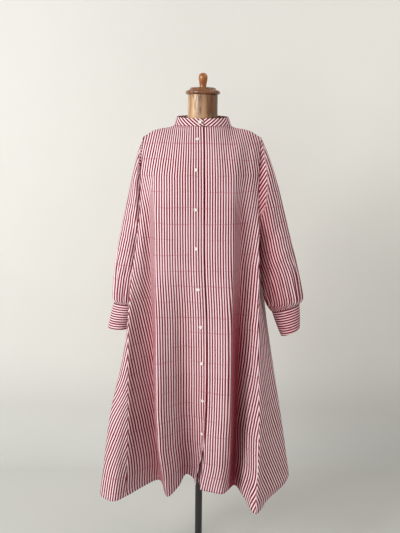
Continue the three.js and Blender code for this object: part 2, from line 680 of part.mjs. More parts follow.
// The armhole loop by the same angle: its shoulder is at 0, its underarm at half a turn.
function armholeByAngle(side, angle) {
  const turn = angle / (2 * Math.PI);
  const under = UNDERARM_INDEX / ARMHOLE_RIGHT.length;
  const shoulder = -0.5 / ARMHOLE_RIGHT.length;
  const share = turn < 0.5
    ? lerp(shoulder, under, turn * 2)
    : lerp(under, 1 + shoulder, (turn - 0.5) * 2);
  return armholeAt(side, share * ARMHOLE_RIGHT.length);
}

const SLEEVE_CLEAR = 1;
function sleeveSurface(side, rows) {
  const lines = new Map();
  const lineAt = (angle) => {
    if (!lines.has(angle)) {
      const start = armholeByAngle(side, angle);
      start.x += side * SLEEVE_CLEAR;
      lines.set(angle, curveThrough([start, ...rows.map((row) => ringPoint(row, side, angle))]));
    }
    return lines.get(angle);
  };
  return (angle, t) => {
    const turn = ((angle % (2 * Math.PI)) + 2 * Math.PI) % (2 * Math.PI);
    const point = lineAt(turn).getPointAt(t);
    const axis = lineAt((turn + Math.PI) % (2 * Math.PI)).getPointAt(t).add(point).multiplyScalar(0.5);
    const [from, full, fade, end] = GATHER_SHARES;
    const gather = smoothstep(t, from, full) * (1 - smoothstep(t, fade, end));
    const ripple = Math.cos(GATHERS * turn) + WAVE.depth * Math.sin(WAVE.count * turn + WAVE.phase);
    const out = point.clone().sub(axis).normalize();
    return point.addScaledVector(out, GATHER_DEPTH * gather * ripple * GATHER_SCALE);
  };
}

const RING_COLUMNS = 30;
const ringAngles = steps(0, 2 * Math.PI, RING_COLUMNS).slice(0, -1);

// Shares of length at which the sleeves end, just short of their cuffs
const SLEEVE_RIGHT_END = 0.9985;
const SLEEVE_LEFT_END = 0.9995;
const SLEEVE_SHARES = [0, 0.05, 0.12, 0.22, 0.34, 0.48, 0.62, 0.74, 0.84, 0.91, 0.965];

function buildSleeve(side, rows, end) {
  const surface = sleeveSurface(side, rows);
  const vs = [...SLEEVE_SHARES, end];
  const normal = (angle, t) => {
    if (t > vs[0]) return normalOf(surface, angle, t, 0.05, 0.01).multiplyScalar(side);
    const outward = surface(angle, t).sub(surface(angle + Math.PI, t));
    return outward.setX(0).normalize();
  };
  const angles = side > 0 ? ringAngles : [...ringAngles].reverse();
  return wallOver(surface, normal, angles, vs, WALL, true);
}

const CUFF_WALL = 2;
const CUFF_SHARES = [0.01, 0.5, 1];
function buildCuff(side, [top, bottom]) {
  const surface = (angle, t) => ringPoint(top, side, angle).lerp(ringPoint(bottom, side, angle), t);
  const normal = (angle, t) => normalOf(surface, angle, t, 0.05, 0.1).multiplyScalar(side);
  const angles = side > 0 ? ringAngles : [...ringAngles].reverse();
  return wallOver(surface, normal, angles, CUFF_SHARES, CUFF_WALL, true);
}

// A round four-hole shirt button, whose holes are too small to show here, with a raised rim.
function buttonGeometry() {
  const profile = [
    [0, 0],
    [BUTTON_RADIUS * 0.86, 0],
    [BUTTON_RADIUS, BUTTON_THICKNESS * 0.45],
    [BUTTON_RADIUS * 0.88, BUTTON_THICKNESS],
    [BUTTON_RADIUS * 0.62, BUTTON_THICKNESS * 0.72],
    [0, BUTTON_THICKNESS * 0.72],
  ].map(([r, z]) => new THREE.Vector2(r, z));
  return new THREE.LatheGeometry(profile, 10).rotateX(Math.PI / 2);
}

// Adds a button at a point of a cloth piece, lifted until it clears the cloth all round its rim.
const RIM_PROBES = 12;
const PROBE_HEIGHT = 20;
function addButton(parent, name, piece, point, normal) {
  const turn = new THREE.Quaternion().setFromUnitVectors(new THREE.Vector3(0, 0, 1), normal);
  const caster = new THREE.Raycaster();
  const heights = steps(0, 2 * Math.PI, RIM_PROBES).map((angle) => {
    const rim = new THREE.Vector3(Math.cos(angle), Math.sin(angle), 0).multiplyScalar(BUTTON_RADIUS);
    const origin = rim.applyQuaternion(turn).add(point).addScaledVector(normal, PROBE_HEIGHT);
    caster.set(origin, normal.clone().negate());
    const hit = caster.intersectObject(piece)[0];
    return hit ? PROBE_HEIGHT - hit.distance : 0;
  });
  const button = addPiece(parent, name, buttonGeometry(), buttonResin);
  button.position.copy(point).addScaledVector(normal, BUTTON_LIFT + Math.max(...heights));
  button.quaternion.copy(turn);
}

const COLLAR_BUTTON_ANGLE = degToRad(6);
function addFrontButtons(parent, front, collar) {
  const u = foldIndex("button_line");
  const line = foldLines[u];
  const heights = [FIRST_BUTTON_Z];
  for (let i = 0; i < PITCHED_BUTTONS; i += 1) heights.push(SECOND_BUTTON_Z - i * BUTTON_PITCH);
  heights.forEach((z, i) => {
    const v = line.lengths[line.points.findIndex((p) => p.z < z)] / line.lengths.at(-1);
    addButton(parent, `front_button_${i + 1}`, front, rightFrontAt(u, v), rightFrontNormal(u, v));
  });
  const angle = COLLAR_BUTTON_ANGLE;
  const normal = normalOf(collarAt, angle, 0.5, 0.03, 0.1).negate();
  addButton(parent, "collar_button", collar, collarAt(angle, 0.5), normal);
}

const CUFF_BUTTON_ANGLE = degToRad(250);
const CUFF_BUTTON_SHARES = [0.3, 0.7]; // of the cuff's depth
function addCuffButtons(parent, name, cuff, side, [top, bottom]) {
  const angle = CUFF_BUTTON_ANGLE;
  const surface = (a, t) => ringPoint(top, side, a).lerp(ringPoint(bottom, side, a), t);
  CUFF_BUTTON_SHARES.forEach((t, i) => {
    const normal = normalOf(surface, angle, t, 0.05, 0.1).multiplyScalar(side);
    addButton(parent, `${name}_${i + 1}`, cuff, surface(angle, t), normal);
  });
}

// Torso of the form, lofted through its level sections
function buildTorso() {
  const around = 34;
  const rings = TORSO.map((row) =>
    steps(0, 2 * Math.PI, around).slice(0, -1).map((angle) => {
      const c = Math.cos(angle);
      const s = Math.sin(angle);
      const depth = s < 0 ? row.front : row.back;
      return new THREE.Vector3(
        row.halfWidth * Math.sign(c) * Math.abs(c) ** (2 / row.power),
        depth * Math.sign(s) * Math.abs(s) ** (2 / row.power),
        row.z,
      );
    }),
  );
  const positions = rings.flat().flatMap((p) => [p.x, p.y, p.z]);
  const index = [];
  for (let j = 0; j < rings.length - 1; j += 1) {
    for (let i = 0; i < around; i += 1) {
      const a = j * around + i;
      const b = j * around + ((i + 1) % around);
      index.push(a, a + around, b + around, a, b + around, b);
    }
  }
  const top = positions.length / 3;
  positions.push(0, 0, TORSO[0].z, 0, 0, TORSO_BOTTOM_Z);
  const lastRing = (rings.length - 1) * around;
  for (let i = 0; i < around; i += 1) {
    const next = (i + 1) % around;
    index.push(top, i, next);
    index.push(top + 1, lastRing + next, lastRing + i);
  }
  const geometry = new THREE.BufferGeometry();
  geometry.setAttribute("position", new THREE.Float32BufferAttribute(positions, 3));
  geometry.setIndex(index);
  geometry.computeVertexNormals();
  return geometry;
}

// A turned piece about the pole's axis, from radius and height pairs.
function turned(profile, segments = 30) {
  const points = profile.map(([r, z]) => new THREE.Vector2(r, z));
  return new THREE.LatheGeometry(points, segments).rotateX(Math.PI / 2);
}

function addForm(parent) {
  addPiece(parent, "form_torso", buildTorso(), linen);
  const neckFoot = TORSO[0].z + REST_GAP;
  addPiece(parent, "form_neck", turned([
    [0, neckFoot],
    [NECK_RADIUS, neckFoot],
    [NECK_RADIUS - 0.5, neckFoot + 40],
    [NECK_RADIUS - 0.5, NECK_TOP_Z],
    [0, NECK_TOP_Z],
  ]), linen);
  const capFoot = NECK_TOP_Z + REST_GAP;
  const capTop = capFoot + 21;
  addPiece(parent, "form_neck_cap", turned([
    [0, capFoot],
    [50, capFoot],
    [53, capFoot + 2.5],
    [54, capFoot + 6],
    [53, capFoot + 9.5],
    [49, capFoot + 12],
    [43, capFoot + 13.5],
    [40, capFoot + 17],
    [37, capTop],
    [0, capTop],
  ]), wood);
  const knobFoot = capTop + REST_GAP;
  addPiece(parent, "form_knob", turned([
    [0, knobFoot],
    [11, knobFoot],
    [11, knobFoot + 8],
    [12.6, knobFoot + 18],
    [14.2, knobFoot + 27],
    [14, knobFoot + 34],
    [11.4, knobFoot + 40],
    [6.2, knobFoot + 43.4],
    [0, knobFoot + 44.5],
  ], 20), knobWood);
  const hubTop = BASE_THICKNESS + 46;
  const poleTop = TORSO_BOTTOM_Z - REST_GAP;
  addPiece(parent, "form_pole", turned([
    [0, hubTop + REST_GAP],
    [POLE_RADIUS, hubTop + REST_GAP],
    [POLE_RADIUS, poleTop - 10],
    [POLE_RADIUS + 22, poleTop - 8],
    [POLE_RADIUS + 22, poleTop],
    [0, poleTop],
  ], 20), blackSteel);
  addPiece(parent, "form_base", turned([
    [0, 0],
    [BASE_RADIUS - 2, 0],
    [BASE_RADIUS, 2],
    [BASE_RADIUS, BASE_THICKNESS - 4],
    [BASE_RADIUS - 5, BASE_THICKNESS],
    [30, BASE_THICKNESS + 2],
    [22, BASE_THICKNESS + 8],
    [18, hubTop - 2],
    [16, hubTop],
    [0, hubTop],
  ], 36), blackSteel);
}

const rightFront = addPiece(dress, "front_right", buildRightFront(), cloth);
addPiece(dress, "front_left", buildLeftFront(), cloth);
addPiece(dress, "back", buildBack(), cloth);
addPiece(dress, "yoke", buildYoke(), cloth);
const collarBand = addPiece(dress, "collar_band", buildCollar(), cloth);
addPiece(dress, "sleeve_right", buildSleeve(-1, SLEEVE_RIGHT, SLEEVE_RIGHT_END), cloth);
addPiece(dress, "sleeve_left", buildSleeve(1, SLEEVE_LEFT, SLEEVE_LEFT_END), cloth);
const rightCuff = addPiece(dress, "cuff_right", buildCuff(-1, CUFF_RIGHT), cloth);
const leftCuff = addPiece(dress, "cuff_left", buildCuff(1, CUFF_LEFT), cloth);
addFrontButtons(dress, rightFront, collarBand);
addCuffButtons(dress, "cuff_button_right", rightCuff, -1, CUFF_RIGHT);
addCuffButtons(dress, "cuff_button_left", leftCuff, 1, CUFF_LEFT);

const form = new THREE.Group();
addForm(form);
dress.add(form);

export default dress;
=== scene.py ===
"""A striped shirt dress on a limbless dress form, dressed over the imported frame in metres."""

import logging
import math
from dataclasses import dataclass
from enum import Enum
from typing import Any, Callable, Mapping, Sequence, Union

import bpy
import numpy as np
from mathutils import Matrix, Vector


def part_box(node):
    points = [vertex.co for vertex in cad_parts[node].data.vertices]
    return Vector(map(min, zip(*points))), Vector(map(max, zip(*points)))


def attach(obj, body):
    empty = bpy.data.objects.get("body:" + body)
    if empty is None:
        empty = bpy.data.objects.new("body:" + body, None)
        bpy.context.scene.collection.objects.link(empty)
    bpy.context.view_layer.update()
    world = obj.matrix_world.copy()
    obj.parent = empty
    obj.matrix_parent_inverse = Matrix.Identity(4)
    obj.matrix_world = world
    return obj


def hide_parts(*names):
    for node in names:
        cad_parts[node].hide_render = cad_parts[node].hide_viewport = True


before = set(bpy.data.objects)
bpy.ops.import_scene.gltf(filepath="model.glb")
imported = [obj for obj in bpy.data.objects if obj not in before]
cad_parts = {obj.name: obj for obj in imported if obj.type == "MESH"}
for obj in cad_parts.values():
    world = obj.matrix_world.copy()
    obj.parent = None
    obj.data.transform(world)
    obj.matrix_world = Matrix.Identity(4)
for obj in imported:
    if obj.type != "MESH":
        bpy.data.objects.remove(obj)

LOG = logging.getLogger("dress")
MM = 0.001
BODY = "root"

Array = np.ndarray
Value = Union["Sock", float, Sequence[float]]


# Shader values


def _sign(operation: str, reflected: bool = False) -> Callable[["Sock", Value], "Sock"]:
    """Makes the method of one arithmetic sign.

    Args:
        operation: the Math node's operation.
        reflected: whether the socket is the second value.

    Returns:
        The method.
    """

    def method(self: "Sock", other: Value) -> "Sock":
        """Adds the sign's Math node."""
        return self.math(operation, *((other, self) if reflected else (self, other)))

    return method


class Sock:
    """A number socket of a shader graph, on which arithmetic adds Math nodes."""

    __add__ = _sign("ADD")
    __sub__ = _sign("SUBTRACT")
    __rsub__ = _sign("SUBTRACT", reflected=True)
    __mul__ = _sign("MULTIPLY")

    def __init__(self, graph: "Graph", link: Any) -> None:
        """Wraps a socket.

        Args:
            graph: the graph that the socket belongs to.
            link: the output socket.
        """
        self.graph = graph
        self.link = link

    def math(self, operation: str, *values: Value, **settings: Any) -> "Sock":
        """Adds one Math node.

        Args:
            operation: the Math node's operation.
            values: its inputs in order.
            settings: further settings, such as use_clamp.

        Returns:
            The node's result.
        """
        chosen = {"operation": operation, **settings}
        return self.graph.add("ShaderNodeMath", chosen, dict(enumerate(values)))

    def sine(self) -> "Sock":
        """Sine of the value in radians."""
        return self.math("SINE", self)

    def size(self) -> "Sock":
        """Absolute value."""
        return self.math("ABSOLUTE", self)

    def held(self) -> "Sock":
        """The value held between 0 and 1."""
        return self.math("ADD", self, 0.0, use_clamp=True)

    def eased(self, low: float, high: float) -> "Sock":
        """A smooth step from 0 at low to 1 at high.

        Args:
            low: where the step starts.
            high: where it ends, which may be below low.

        Returns:
            The step's value.
        """
        settings = {"interpolation_type": "SMOOTHSTEP"}
        values = {"Value": self, "From Min": low, "From Max": high}
        return self.graph.add("ShaderNodeMapRange", settings, values)


class Graph:
    """The node graph of one material."""

    def __init__(self, name: str) -> None:
        """Makes a material with an empty graph.

        Args:
            name: the material's name.
        """
        self.material = bpy.data.materials.new(name)
        self.material.use_nodes = True
        self.tree = self.material.node_tree
        self.tree.nodes.clear()

    def add(
        self,
        kind: str,
        settings: Mapping[str, Any] | None = None,
        values: Mapping[Union[str, int], Value] | None = None,
        output: Union[str, int] = 0,
    ) -> Sock:
        """Adds a node of any type.

        Args:
            kind: the node's type.
            settings: its own settings, set before its sockets.
            values: a value or a link for each named or counted socket.
            output: the socket that is returned.

        Returns:
            The chosen output.
        """
        node = self.tree.nodes.new(kind)
        for key, value in (settings or {}).items():
            setattr(node, key, value)
        for key, value in (values or {}).items():
            if isinstance(value, Sock):
                self.tree.links.new(value.link, node.inputs[key])
            else:
                node.inputs[key].default_value = value
        return Sock(self, node.outputs[output])

    def attribute(self, name: str) -> Sock:
        """A number stored on the mesh's points."""
        settings = {"attribute_name": name, "attribute_type": "GEOMETRY"}
        return self.add("ShaderNodeAttribute", settings, output="Fac")

    def place(self, stretch: Sequence[float] = (1.0, 1.0, 1.0)) -> Sock:
        """The point's own place on the object, stretched.

        Args:
            stretch: what each coordinate is multiplied by.

        Returns:
            The stretched coordinates.
        """
        here = self.add("ShaderNodeTexCoord", output="Object")
        settings = {"operation": "MULTIPLY"}
        return self.add("ShaderNodeVectorMath", settings, {0: here, 1: tuple(stretch)})

    def coordinate(self, axis: str) -> Sock:
        """One coordinate of the point's place on the object, in metres."""
        return self.add("ShaderNodeSeparateXYZ", {}, {0: self.place()}, output=axis)

    def noise(self, scale: float, detail: float = 2.0, stretch: Sequence[float] = (1.0, 1.0, 1.0)) -> Sock:
        """Noise over the object, about 0 to 1.

        Args:
            scale: how fine it is, per metre.
            detail: octaves.
            stretch: what each coordinate is multiplied by.

        Returns:
            The noise.
        """
        values = {"Vector": self.place(stretch), "Scale": scale, "Detail": detail}
        return self.add("ShaderNodeTexNoise", {}, values)

    def mix(self, share: Value, first: Value, second: Value, way: str = "MIX") -> Sock:
        """Mixes two colours.

        Args:
            share: 0 for the first, 1 for the second.
            first: a colour.
            second: a colour.
            way: the Mix node's blend type.

        Returns:
            The mixed colour.
        """
        settings = {"data_type": "RGBA", "blend_type": way}
        values = {0: share, 6: self._rgba(first), 7: self._rgba(second)}
        return self.add("ShaderNodeMix", settings, values, output=2)

    @staticmethod
    def _rgba(colour: Value) -> Value:
        """A colour with its fourth number."""
        if isinstance(colour, Sock) or len(colour) == 4:
            return colour
        return (*colour, 1.0)

    def bump(self, height: Sock, depth: float, strength: float = 1.0) -> Sock:
        """Turns a height into a normal.

        Args:
            height: the height, about 0 to 1.
            depth: what a height of 1 stands for, in metres.
            strength: share of the effect.

        Returns:
            The normal.
        """
        values = {"Height": height, "Distance": depth, "Strength": strength}
        return self.add("ShaderNodeBump", {}, values, output="Normal")

    def finish(self, values: Mapping[str, Value], one_sided: bool = False) -> bpy.types.Material:
        """Ends the graph in a Principled shader.

        Args:
            values: a value or a link for each of its sockets.
            one_sided: whether the faces' backs are clear, so that a wall never hides what it stands behind.

        Returns:
            The material.
        """
        shader = self.add("ShaderNodeBsdfPrincipled", {}, values)
        if one_sided:
            behind = self.add("ShaderNodeNewGeometry", output="Backfacing")
            clear = self.add("ShaderNodeBsdfTransparent")
            shader = self.add("ShaderNodeMixShader", {}, {0: behind, 1: shader, 2: clear})
        end = self.tree.nodes.new("ShaderNodeOutputMaterial")
        self.tree.links.new(shader.link, end.inputs["Surface"])
        return self.material


# Finishes

Colour = tuple[float, float, float]
PLAIN: Colour = (1.0, 1.0, 1.0)
ALONG_GRAIN: Colour = (1.0, 1.0, 0.12)
STRIPE_PERIOD = 0.008
STITCH_PITCH = 0.0026
STITCH_INSET = 0.0025
PUCKER_PITCH = 48.3
PUCKER_TOP_Z = 1384.0


@dataclass(frozen=True)
class StripedCotton:
    """Washed cotton with woven stripes, the crimson a little wider than the warm white."""

    name: str
    crimson: Colour = (0.19, 0.002, 0.014)
    white: Colour = (0.98, 0.78, 0.825)
    # Painted shade: the colour that the cloth is multiplied towards in deep folds
    shade: Colour = (0.62, 0.12, 0.17)
    crinkle: float = 0.0009

    def material(self) -> bpy.types.Material:
        """Builds the material, whose stripes follow the flat cut in "cut_x" and whose colour is darkened by
        painted shade in folds.

        Returns:
            The material.
        """
        graph = Graph(self.name)
        across = graph.attribute("cut_x")
        wander = (graph.noise(22.0, 2.0) - 0.5) * 0.0012
        waves = ((across + wander) * (2 * math.pi / STRIPE_PERIOD)).sine()
        slub = (graph.noise(420.0, 2.0, (1.0, 1.0, 0.25)) - 0.5) * 0.9
        red = (waves * 3.2 + 1.1 + slub * 0.4).held()
        colour = graph.mix(red, self.white, self.crimson)
        fade = graph.noise(9.0, 3.0)
        colour = graph.mix((fade - 0.45).held() * 0.4, colour, (0.86, 0.58, 0.65))
        line = self._puckers(graph)
        # Painted shade: the pressed lines are darkened in colour as well as sunk in the bump
        colour = graph.mix(line * 0.5, colour, (0.42, 0.12, 0.17))
        # Painted shade: the colour turns darker and redder where the "deep" value marks a fold
        deep = graph.attribute("deep").held()
        colour = graph.mix(1.0, colour, graph.mix(deep, PLAIN, self.shade), "MULTIPLY")
        yarn = graph.noise(1500.0, 1.0, (1.0, 1.0, 0.4))
        colour = graph.mix(0.22, colour, graph.mix(yarn, (0.45, 0.4, 0.4), PLAIN), "MULTIPLY")
        stitch = self._stitches(graph)
        colour = graph.mix(stitch * 0.55, colour, (0.78, 0.6, 0.6))
        height = graph.noise(95.0, 3.0, (1.0, 1.0, 0.32)) * 0.75
        height = height + graph.noise(330.0, 2.0, (1.0, 1.0, 0.5)) * 0.22
        height = height + yarn * 0.05 + stitch * 0.25 - line * 0.35
        roughness = graph.noise(60.0, 2.0) * 0.1 + 0.82
        return graph.finish(
            {
                "Base Color": colour,
                "Roughness": roughness,
                "Normal": graph.bump(height, self.crinkle, 0.75),
                "Specular IOR Level": 0.1,
            }
        )

    def _puckers(self, graph: Graph) -> Sock:
        """A mask of the faint, even pressed lines that cross the stripes, for their dip and their painted
        shade.

        Args:
            graph: the graph that it is added to.

        Returns:
            1 on a line, 0 off it, patchy.
        """
        down = graph.attribute("cut_y") + (graph.noise(14.0, 2.0) - 0.5) * 0.012
        turns = (down * (math.pi / (PUCKER_PITCH * MM))).sine().size()
        patches = graph.noise(17.0, 3.0).eased(0.36, 0.62)
        return (1.0 - turns.eased(0.04, 0.17)) * patches

    @staticmethod
    def _stitches(graph: Graph) -> Sock:
        """A mask of the thread of the sewn lines.

        Args:
            graph: the graph that it is added to.

        Returns:
            1 on thread, 0 off it.
        """
        edge = graph.attribute("edge")
        along = graph.attribute("along")
        line = 1.0 - (edge - STITCH_INSET).size().eased(0.0002, 0.0006)
        dashes = (along * (2 * math.pi / STITCH_PITCH)).sine().eased(-0.5, 0.1)
        return line * dashes


@dataclass(frozen=True)
class ButtonResin:
    """Cream resin with a soft gloss and faint swirls."""

    name: str = "cream_resin"
    cream: Colour = (0.84, 0.77, 0.66)

    def material(self) -> bpy.types.Material:
        """Builds the material."""
        graph = Graph(self.name)
        swirl = graph.noise(260.0, 4.0, (1.0, 0.6, 1.6))
        colour = graph.mix(swirl, self.cream, (0.93, 0.9, 0.84))
        bump = graph.bump(graph.noise(900.0, 2.0), 0.0001, 0.4)
        values = {"Base Color": colour, "Roughness": swirl * 0.12 + 0.24, "Normal": bump}
        return graph.finish({**values, "Coat Weight": 0.25})


@dataclass(frozen=True)
class Thread:
    """Off-white sewing thread."""

    name: str = "thread"

    def material(self) -> bpy.types.Material:
        """Builds the material."""
        graph = Graph(self.name)
        twist = graph.noise(3200.0, 1.0)
        colour = graph.mix(twist, (0.72, 0.6, 0.56), (0.9, 0.84, 0.8))
        normal = graph.bump(twist, 0.0001, 0.6)
        return graph.finish({"Base Color": colour, "Roughness": 0.8, "Normal": normal})


@dataclass(frozen=True)
class LinenCover:
    """The torso's close linen cover."""

    name: str = "linen_cover"

    def material(self) -> bpy.types.Material:
        """Builds the material."""
        graph = Graph(self.name)
        warp, weft = (graph.noise(1400.0, 1.0, way) for way in ((1.0, 1.0, 0.3), (0.3, 1.0, 1.0)))
        weave = warp * 0.5 + weft * 0.5
        age = graph.noise(11.0, 4.0)
        colour = graph.mix(age, (0.36, 0.27, 0.18), (0.52, 0.42, 0.3))
        colour = graph.mix(0.3, colour, graph.mix(weave, (0.4, 0.4, 0.4), PLAIN), "MULTIPLY")
        normal = graph.bump(weave, 0.0004, 0.6)
        return graph.finish({"Base Color": colour, "Roughness": age * 0.1 + 0.8, "Normal": normal})


@dataclass(frozen=True)
class NeckBoard:
    """Old varnished board of the neck, with vertical streaks and cracks, a rubbed lower edge and painted
    shade darkening it towards +X.
    """

    name: str = "neck_board"
    foot: float = 1.515

    def material(self) -> bpy.types.Material:
        """Builds the material."""
        graph = Graph(self.name)
        streaks = graph.noise(55.0, 4.0, ALONG_GRAIN)
        blotches = graph.noise(38.0, 5.0)
        cracks = 1.0 - (graph.noise(70.0, 5.0, (1.0, 1.0, 0.1)) - 0.5).size().eased(0.004, 0.03)
        colour = graph.mix(streaks.eased(0.3, 0.72), (0.33, 0.17, 0.08), (0.88, 0.6, 0.37))
        colour = graph.mix(blotches.eased(0.5, 0.75) * 0.5, colour, (0.68, 0.45, 0.25))
        # Painted shade: the board darkens towards +X, its side away from the key light
        painted_side_shade = graph.mix(graph.coordinate("X").eased(-0.045, 0.03), PLAIN, (0.28, 0.18, 0.1))
        colour = graph.mix(1.0, colour, painted_side_shade, "MULTIPLY")
        ragged = graph.coordinate("Z") + (graph.noise(90.0, 4.0) - 0.5) * 0.02
        rubbed = 1.0 - ragged.eased(self.foot, self.foot + 0.012)
        colour = graph.mix(rubbed * 0.22, colour, (0.62, 0.4, 0.2))
        colour = graph.mix(cracks * 0.7, colour, (0.05, 0.025, 0.012))
        bump = graph.bump(streaks * 0.5 - cracks * 0.8 + blotches * 0.3, 0.0012, 0.7)
        roughness = streaks * 0.25 + rubbed * 0.25 + 0.34
        values = {"Base Color": colour, "Roughness": roughness.held(), "Normal": bump}
        return graph.finish({**values, "Coat Weight": 0.15})


@dataclass(frozen=True)
class TurnedWood:
    """Varnished turned wood with fine grain and darker, worn edges."""

    name: str
    dark: Colour
    light: Colour
    roughness: float

    def material(self) -> bpy.types.Material:
        """Builds the material."""
        graph = Graph(self.name)
        grain = graph.noise(150.0, 4.0, (1.0, 1.0, 0.14))
        wear = graph.noise(45.0, 4.0)
        colour = graph.mix(grain.eased(0.25, 0.75), self.dark, self.light)
        colour = graph.mix(wear.eased(0.6, 0.8) * 0.45, colour, (0.1, 0.04, 0.02))
        bump = graph.bump(grain * 0.6 + wear * 0.4, 0.0005, 0.5)
        rough = (wear * 0.2 + self.roughness).held()
        values = {"Base Color": colour, "Roughness": rough, "Normal": bump}
        return graph.finish({**values, "Coat Weight": 0.35, "Coat Roughness": 0.2})


@dataclass(frozen=True)
class BlackPaint:
    """Satin black paint on steel, a little scuffed."""

    name: str = "black_paint"

    def material(self) -> bpy.types.Material:
        """Builds the material."""
        graph = Graph(self.name)
        scuffs = graph.noise(120.0, 5.0, (1.0, 1.0, 0.2)).eased(0.62, 0.78)
        colour = graph.mix(scuffs, (0.012, 0.012, 0.014), (0.06, 0.06, 0.062))
        skin = graph.noise(500.0, 2.0)
        values = {"Base Color": colour, "Roughness": scuffs * 0.25 + 0.34, "Metallic": 0.0}
        return graph.finish({**values, "Normal": graph.bump(skin, 0.0002, 0.4), "Coat Weight": 0.2})


@dataclass(frozen=True)
class PaleWall:
    """Plain pale matt paint for the floor and the wall behind."""

    name: str = "pale_wall"
    wall: Colour = (0.84, 0.835, 0.80)
    floor: Colour = (0.62, 0.635, 0.615)

    def material(self) -> bpy.types.Material:
        """Builds the material."""
        graph = Graph(self.name)
        tone = graph.noise(1.6, 3.0)
        colour = graph.mix(graph.coordinate("Z").eased(0.0, 0.5), self.floor, self.wall)
        colour = graph.mix(tone * 0.5, colour, (0.7, 0.69, 0.66))
        bump = graph.bump(graph.noise(60.0, 3.0), 0.0006, 0.25)
        return graph.finish({"Base Color": colour, "Roughness": 0.9, "Normal": bump}, one_sided=True)


# Curves and lines, in millimetres as in the part's own tables


def smooth_step(value: Array, low: float, high: float) -> Array:
    """A smooth step from 0 at low to 1 at high."""
    t = np.clip((np.asarray(value, float) - low) / (high - low), 0.0, 1.0)
    return t * t * (3 - 2 * t)


def between(first: Any, second: Any, share: Any) -> Any:
    """The value at a share of the way from the first to the second."""
    return first + (second - first) * share


def through(points: Array, places: Array, closed: bool = False) -> Array:
    """A smooth centripetal curve through points.

    Args:
        points: (..., n, 3) points that the curve passes.
        places: (m,) places on it, counted in points.
        closed: whether the last point leads back to the first.

    Returns:
        (..., m, 3) points of the curve.
    """
    count = points.shape[-2]
    places = np.asarray(places, float)
    if closed:
        low = np.floor(places).astype(int)
        corner = [points[..., (low + k) % count, :] for k in (-1, 0, 1, 2)]
    else:
        before = 2 * points[..., :1, :] - points[..., 1:2, :]
        after = 2 * points[..., -1:, :] - points[..., -2:-1, :]
        longer = np.concatenate([before, points, after], axis=-2)
        low = np.clip(np.floor(places).astype(int), 0, count - 2)
        corner = [longer[..., low + k, :] for k in range(4)]
    weight = (places - low)[:, None]
    p0, p1, p2, p3 = corner

    def pace(a: Array, b: Array) -> Array:
        """The centripetal step between two points."""
        return np.maximum(np.sum((a - b) ** 2, axis=-1, keepdims=True), 1e-16) ** 0.25

    d1 = pace(p1, p2)
    d1 = np.where(d1 < 1e-4, 1.0, d1)
    d0 = pace(p0, p1)
    d0 = np.where(d0 < 1e-4, d1, d0)
    d2 = pace(p2, p3)
    d2 = np.where(d2 < 1e-4, d1, d2)
    t1 = ((p1 - p0) / d0 - (p2 - p0) / (d0 + d1) + (p2 - p1) / d1) * d1
    t2 = ((p2 - p1) / d1 - (p3 - p1) / (d1 + d2) + (p3 - p2) / d2) * d1
    square = -3 * p1 + 3 * p2 - 2 * t1 - t2
    cube = 2 * p1 - 2 * p2 + t1 + t2
    return p1 + t1 * weight + square * weight**2 + cube * weight**3


class ClothLine:
    """A line down the cloth, read by share of its length or by height."""

    def __init__(self, points: Array) -> None:
        """Holds the line.

        Args:
            points: (n, 3) close points from its top to its foot.
        """
        self.points = points
        steps = np.linalg.norm(np.diff(points, axis=0), axis=1)
        self.lengths = np.concatenate([[0.0], np.cumsum(steps)])

    def at(self, share: Array) -> Array:
        """Points at shares of the length."""
        target = np.clip(share, 0.0, 1.0) * self.lengths[-1]
        return np.stack([np.interp(target, self.lengths, c) for c in self.points.T], axis=-1)

    def at_height(self, z: Array) -> Array:
        """Points at heights, the line's end where it doesn't reach."""
        return np.stack([np.interp(-z, -self.points[:, 2], c) for c in self.points.T], axis=-1)


class Side(Enum):
    """A side of the dress as worn; its value is the sign of X."""

    RIGHT = -1
    LEFT = 1

    @property
    def word(self) -> str:
        """Its name as the pieces and nodes use it."""
        return self.name.lower()


@dataclass(frozen=True)
class Fold:
    """One fold of the body: where it starts on the top edge and where it crosses each height."""

    name: str
    edge: float
    chest: tuple[float, float] | None
    arm: tuple[float, float]
    waist: tuple[float, float]
    knee: tuple[float, float]
    hem: tuple[float, float, float]


@dataclass(frozen=True)
class Ring:
    """A section of a sleeve or cuff: X and Z of its far and near sides, and its middle and depth in Y."""

    outer_x: float
    outer_z: float
    inner_x: float
    inner_z: float
    middle_y: float
    depth: float


